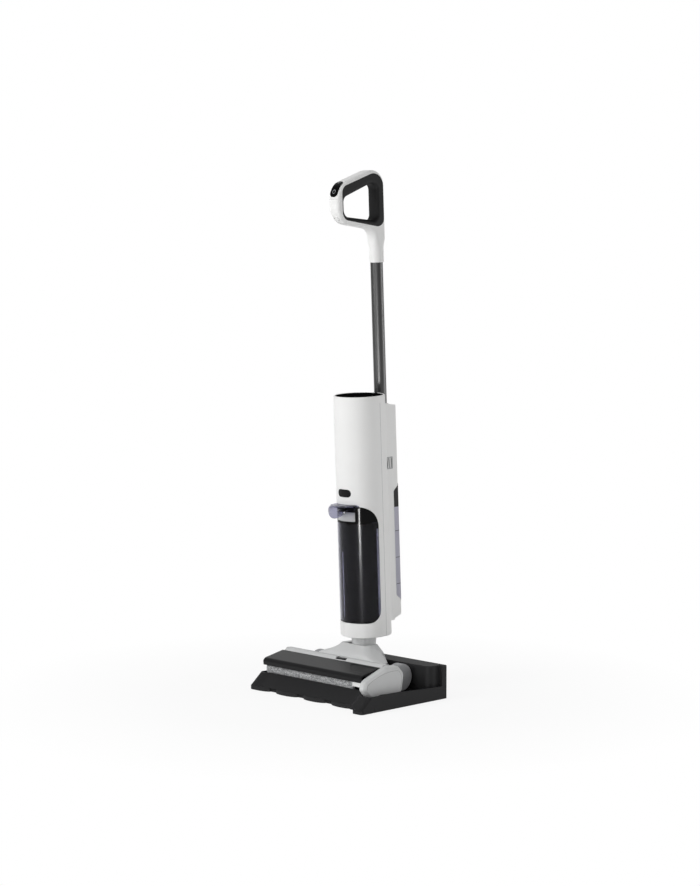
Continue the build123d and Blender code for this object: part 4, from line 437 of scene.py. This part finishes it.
def makeShellDetails():
    form = bmesh.new()
    for side in (-1, 1):
        start = side * shellSeam["angle"] - shellSeam["wide"] / 2
        curvedPlate(form, shellSeam["low"], shellSeam["high"], start, start + shellSeam["wide"],
                    shellSeam["inner"], shellSeam["outer"])
    addPiece("shell_parting_lines", finishMesh(form, "shellPartingLines"), seamShade,
             "upright")
    form = bmesh.new()
    ventLow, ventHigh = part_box("vent_grilles")
    middle = (Vector(ventLow) + Vector(ventHigh)) / 2 - bodyFoot
    rear, along = middle.dot(toRear) / mm, middle.dot(alongBody) / mm
    for side in (-1, 1):
        for offset in louvre["offsets"]:
            rings = []
            for end in (-1, 1):
                v = rear + offset - end * louvre["slant"] / 2
                w = along + end * louvre["high"] / 2
                corners = [(-louvre["sunk"], -0.5), (louvre["raised"], -0.5),
                           (louvre["raised"], 0.5), (-louvre["sunk"], 0.5)]
                spots = [onBody(side * (louvre["flank"] + out), v + q * louvre["wide"], w)
                         for out, q in corners]
                rings.append([form.verts.new(spot) for spot in spots])
            joinRings(form, rings)
    addPiece("vent_louvre_bars", finishMesh(form, "ventLouvreBars"), whiteAbs, "upright")


makeShellDetails()
print("shell details done")


def surfaceLine(name, node, spots, direction, width, proud, material, body):
    # a thin closed or open line laid on a node's surface: each spot is dropped along direction
    target = nodes[node]
    found = []
    for spot in spots:
        hit, place, normal, _ = target.ray_cast(Vector(spot) * mm, Vector(direction))
        if hit:
            found.append((place, normal))
    form = bmesh.new()
    rings = []
    for index, (place, normal) in enumerate(found):
        ahead = (found[min(index + 1, len(found) - 1)][0] - found[max(index - 1, 0)][0]).normalized()
        side = normal.cross(ahead).normalized() * width / 2 * mm
        lift = normal * proud * mm
        rings.append([form.verts.new(place + s)
                      for s in (-side - lift, -side + lift, side + lift, side - lift)])
    joinRings(form, rings)
    addPiece(name, finishMesh(form, name), material, body)


def smoothPath(corners, steps):
    # a Catmull-Rom curve through the given corners
    out = []
    ends = [corners[0]] + list(corners) + [corners[-1]]
    for a, b, c, d in zip(ends, ends[1:], ends[2:], ends[3:]):
        for step in range(steps):
            t = step / steps
            out.append(tuple(0.5 * (2 * q + (r - p) * t + (2 * p - 5 * q + 4 * r - s) * t * t
                                    + (3 * q - p - 3 * r + s) * t ** 3) for p, q, r, s in zip(a, b, c, d)))
    out.append(tuple(corners[-1]))
    return out


# parting line around the drive end cap's outer panel
capSeam = {"away": 200, "width": 0.7, "proud": 0.05, "steps": 6,
           "corners": [(-88, 45), (-86, 55), (-67, 65), (-35, 73.5), (-5, 75), (5, 71), (11, 60),
                       (10, 46), (7, 34)]}
capPath = [(capSeam["away"], y, z) for y, z in smoothPath(capSeam["corners"], capSeam["steps"])]
surfaceLine("drive_end_cap_seam", "drive_end_cap", capPath, (-1, 0, 0), capSeam["width"], capSeam["proud"],
            seamShade, "head")
print("head details done")


# keys: printed rings on the power and mode keys, the edge of the self-clean key, and the joint
# line across the handle under the pad
keyRings = [
    {"key": "power_button", "joint": "power_press", "radii": (3.8, 3.8), "width": 1.1, "proud": 0.12},
    {"key": "mode_button", "joint": "mode_press", "radii": (1.9, 1.9), "width": 0.7, "proud": 0.12},
    {"key": "self_clean_button", "joint": "self_clean_press", "radii": (6.1, 4.6), "width": 0.5,
     "proud": 0.08},
]
ringSteps = 48
dropHeight = 30  # mm above a key, from where its top is found


def makeKeyRing(ring, material):
    low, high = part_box(ring["key"])
    inward = Vector(joints[ring["joint"]]["axis"]).normalized()
    across = Vector((1, 0, 0))
    up = across.cross(inward).normalized()
    centre = (Vector(low) + Vector(high)) / 2
    top = nodes[ring["key"]].ray_cast(centre - inward * dropHeight * mm, inward)[1]
    form = bmesh.new()
    rings = []
    for step in range(ringSteps):
        angle = 2 * pi * step / ringSteps
        spots = []
        for out, lift in ((-0.5, -0.1), (-0.5, 1), (0.5, 1), (0.5, -0.1)):
            wide, tall = (radius + out * ring["width"] for radius in ring["radii"])
            spots.append(form.verts.new(top + (across * cos(angle) * wide + up * sin(angle) * tall
                                               - inward * lift * ring["proud"]) * mm))
        rings.append(spots)
    joinRings(form, rings, closed=True)
    addPiece(ring["key"] + "_ring", finishMesh(form, ring["key"] + "Ring"), material, ring["key"])


for ring, material, slotName in zip(keyRings, (paleInk, paleInk, seamShade),
                                    ("socket_black", "socket_black", "key_white")):
    makeKeyRing(ring, material)

handleJoint = {"below": 4.0, "width": 0.5, "proud": 0.04, "half": 13.5, "front": -100, "steps": 10}
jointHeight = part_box("control_pad")[0][2] / mm - handleJoint["below"]
frontSpots = [(handleJoint["half"] * k / handleJoint["steps"], handleJoint["front"], jointHeight)
              for k in range(-handleJoint["steps"], handleJoint["steps"] + 1)]
surfaceLine("handle_joint_line", "handle_shell", frontSpots, (0, 1, 0), handleJoint["width"],
            handleJoint["proud"], seamShade, "upright")
print("keys done")

# roller: fibre pile as a tufted skin in place of the plain sleeve
tufting = {"around": 150, "along": 300, "inner": 18.0, "outer": 24.0, "tuft": 2.2, "dip": 0.8}


def makePile():
    low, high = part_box("roller_sleeve")
    y, z = (low[1] + high[1]) / 2, (low[2] + high[2]) / 2
    form = bmesh.new()
    rings = []
    for step in range(tufting["along"] + 1):
        x = low[0] + (high[0] - low[0]) * step / tufting["along"]
        ring = []
        for k in range(tufting["around"]):
            angle = 2 * pi * k / tufting["around"]
            spot = Vector((x, cos(angle) * tufting["outer"] * mm, sin(angle) * tufting["outer"] * mm))
            dip = tufting["dip"] * (0.5 + 0.5 * noise.noise(spot / (tufting["tuft"] * mm)))
            radius = (tufting["outer"] - max(dip, 0)) * mm
            ring.append(form.verts.new((x, y + cos(angle) * radius, z + sin(angle) * radius)))
        rings.append(ring)
    bore = [[form.verts.new((x, y + cos(2 * pi * k / tufting["around"]) * tufting["inner"] * mm,
                             z + sin(2 * pi * k / tufting["around"]) * tufting["inner"] * mm))
             for k in range(tufting["around"])] for x in (high[0], low[0])]
    joinRings(form, rings + bore, closed=True)
    sleeve = addPiece("roller_pile", finishMesh(form, "rollerPile", True), pile, "roller")
    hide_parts("roller_sleeve")


makePile()
print("roller done")

# studio: white surroundings, a soft key from the left, a rim lamp behind the right, and two lamps
# that only draw highlights, a broad one behind the right and a narrow low strip in front
studio = {"ambient": 0.46, "backdrop": 1.0, "paper": "#F4F4F4", "shadowNear": 0.35, "shadowFar": 0.8,
          "lift": 0.88, "room": 0.12, "backTurn": 225, "backEdge": 0.45, "backFull": 0.8,
          "lampDatum": 0.55, "floorHalf": 6, "floorCells": 8, "paperRough": 0.8}
lamps = {
    "keySoftbox": {"turn": -14, "away": 2.9, "high": 1.75, "size": (1.3, 1.9), "power": 50, "lights": True},
    "rimSoftbox": {"turn": 140, "away": 2.7, "high": 0.9, "size": (0.9, 1.8), "power": 9, "lights": True},
    "sheenLamp": {"turn": 140, "away": 2.7, "high": 0.6, "size": (0.9, 1.6), "power": 14, "lights": False},
    "stripLamp": {"turn": 31, "away": 1.6, "high": 0.13, "size": (0.09, 0.26), "power": 15, "lights": False},
}


def seenRays(tree):
    # 1 for rays that show the backdrop itself: to the camera, in gloss and through clear plastic
    rays = addNode(tree, "ShaderNodeLightPath")
    seen = rays.outputs["Is Camera Ray"]
    for kind in ("Is Glossy Ray", "Is Transmission Ray"):
        either = addNode(tree, "ShaderNodeMath", {"operation": "MAXIMUM"})
        tree.links.new(seen, either.inputs[0])
        tree.links.new(rays.outputs[kind], either.inputs[1])
        seen = either.outputs["Value"]
    return seen


def mixShaders(tree, factor, first, second):
    mixed = addNode(tree, "ShaderNodeMixShader", links={"Fac": factor})
    tree.links.new(first, mixed.inputs[1])
    tree.links.new(second, mixed.inputs[2])
    return mixed.outputs["Shader"]


def makeWorld():
    # the backdrop stands behind the object: gloss that faces the camera shows the darker studio instead
    world = bpy.data.worlds.new("studioWorld")
    scene.world = world
    world.use_nodes = True
    tree = world.node_tree
    tree.nodes.clear()
    white = (1, 1, 1, 1)
    ambient = addNode(tree, "ShaderNodeBackground", {"Color": white, "Strength": studio["ambient"]})
    backdrop = addNode(tree, "ShaderNodeBackground", {"Color": white, "Strength": studio["backdrop"]})
    room = addNode(tree, "ShaderNodeBackground", {"Color": white, "Strength": studio["room"]})
    turn = radians(studio["backTurn"])
    facing = addNode(tree, "ShaderNodeVectorMath", {"operation": "DOT_PRODUCT"})
    tree.links.new(addNode(tree, "ShaderNodeTexCoord").outputs["Generated"], facing.inputs[0])
    facing.inputs[1].default_value = (sin(turn), -cos(turn), 0)
    behind = addNode(tree, "ShaderNodeMapRange",
                     {"From Min": studio["backEdge"], "From Max": studio["backFull"]},
                     {"Value": facing.outputs["Value"]})
    shown = mixShaders(tree, behind.outputs["Result"], room.outputs["Background"],
                       backdrop.outputs["Background"])
    rays = addNode(tree, "ShaderNodeLightPath")
    shown = mixShaders(tree, rays.outputs["Is Camera Ray"], shown, backdrop.outputs["Background"])
    surface = mixShaders(tree, seenRays(tree), ambient.outputs["Background"], shown)
    addNode(tree, "ShaderNodeOutputWorld", links={"Surface": surface})


def makeFloor():
    form = bmesh.new()
    bmesh.ops.create_grid(form, x_segments=studio["floorCells"], y_segments=studio["floorCells"],
                          size=studio["floorHalf"])
    mesh = finishMesh(form, "studioFloor")
    floor = bpy.data.objects.new("studio_floor", mesh)
    scene.collection.objects.link(floor)
    material, tree, shader = newMaterial("paleSeamlessPaper", {"Roughness": studio["paperRough"]})
    shader.inputs["Base Color"].default_value = toLinear(studio["paper"])
    output = next(node for node in tree.nodes if node.type == "OUTPUT_MATERIAL")
    # the paper keeps the object's shadow close by and fades into the white backdrop further out
    place = addNode(tree, "ShaderNodeTexCoord").outputs["Object"]
    reach = addNode(tree, "ShaderNodeVectorMath", {"operation": "LENGTH"})
    tree.links.new(place, reach.inputs[0])
    fade = addNode(tree, "ShaderNodeMapRange",
                   {"From Min": studio["shadowNear"], "From Max": studio["shadowFar"],
                    "To Min": studio["lift"], "To Max": 1.0},
                   {"Value": reach.outputs["Value"]})
    lift = addNode(tree, "ShaderNodeMath", {"operation": "MULTIPLY"})
    tree.links.new(seenRays(tree), lift.inputs[0])
    tree.links.new(fade.outputs["Result"], lift.inputs[1])
    glow = addNode(tree, "ShaderNodeEmission", {"Color": (1, 1, 1, 1), "Strength": studio["backdrop"]})
    surface = mixShaders(tree, lift.outputs["Value"], shader.outputs["BSDF"], glow.outputs["Emission"])
    tree.links.new(surface, output.inputs["Surface"])
    mesh.materials.append(material)


def addLamp(name, lamp):
    # turn is the angle from the front towards the right; high is about the height above the floor,
    # as lampDatum is close to the height of the object's middle, at which each lamp is aimed
    middle = (cadLow + cadHigh) / 2
    turn = radians(lamp["turn"])
    data = bpy.data.lights.new(name, "AREA")
    data.shape = "RECTANGLE"
    data.size, data.size_y = lamp["size"]
    data.energy = lamp["power"]
    light = bpy.data.objects.new(name, data)
    scene.collection.objects.link(light)
    light.location = middle + Vector((sin(turn) * lamp["away"], -cos(turn) * lamp["away"],
                                      lamp["high"] - studio["lampDatum"]))
    light.rotation_euler = (middle - light.location).to_track_quat("-Z", "Y").to_euler()
    light.visible_camera = False
    light.visible_diffuse = lamp["lights"]


makeWorld()
makeFloor()
for name, lamp in lamps.items():
    addLamp(name, lamp)
print("studio done")

# camera: a long lens from the front right, a little above the middle
view = {"place": (3.565, -3.4791, 0.9994), "turn": 45.5, "down": 5.35, "sensor": 36.0, "lens": 97.52}
camera = bpy.data.objects.new("camera", bpy.data.cameras.new("camera"))
scene.collection.objects.link(camera)
camera.location = view["place"]
camera.rotation_euler = (radians(90 - view["down"]), 0, radians(view["turn"]))
camera.data.sensor_width = view["sensor"]
camera.data.lens = view["lens"]
scene.camera = camera
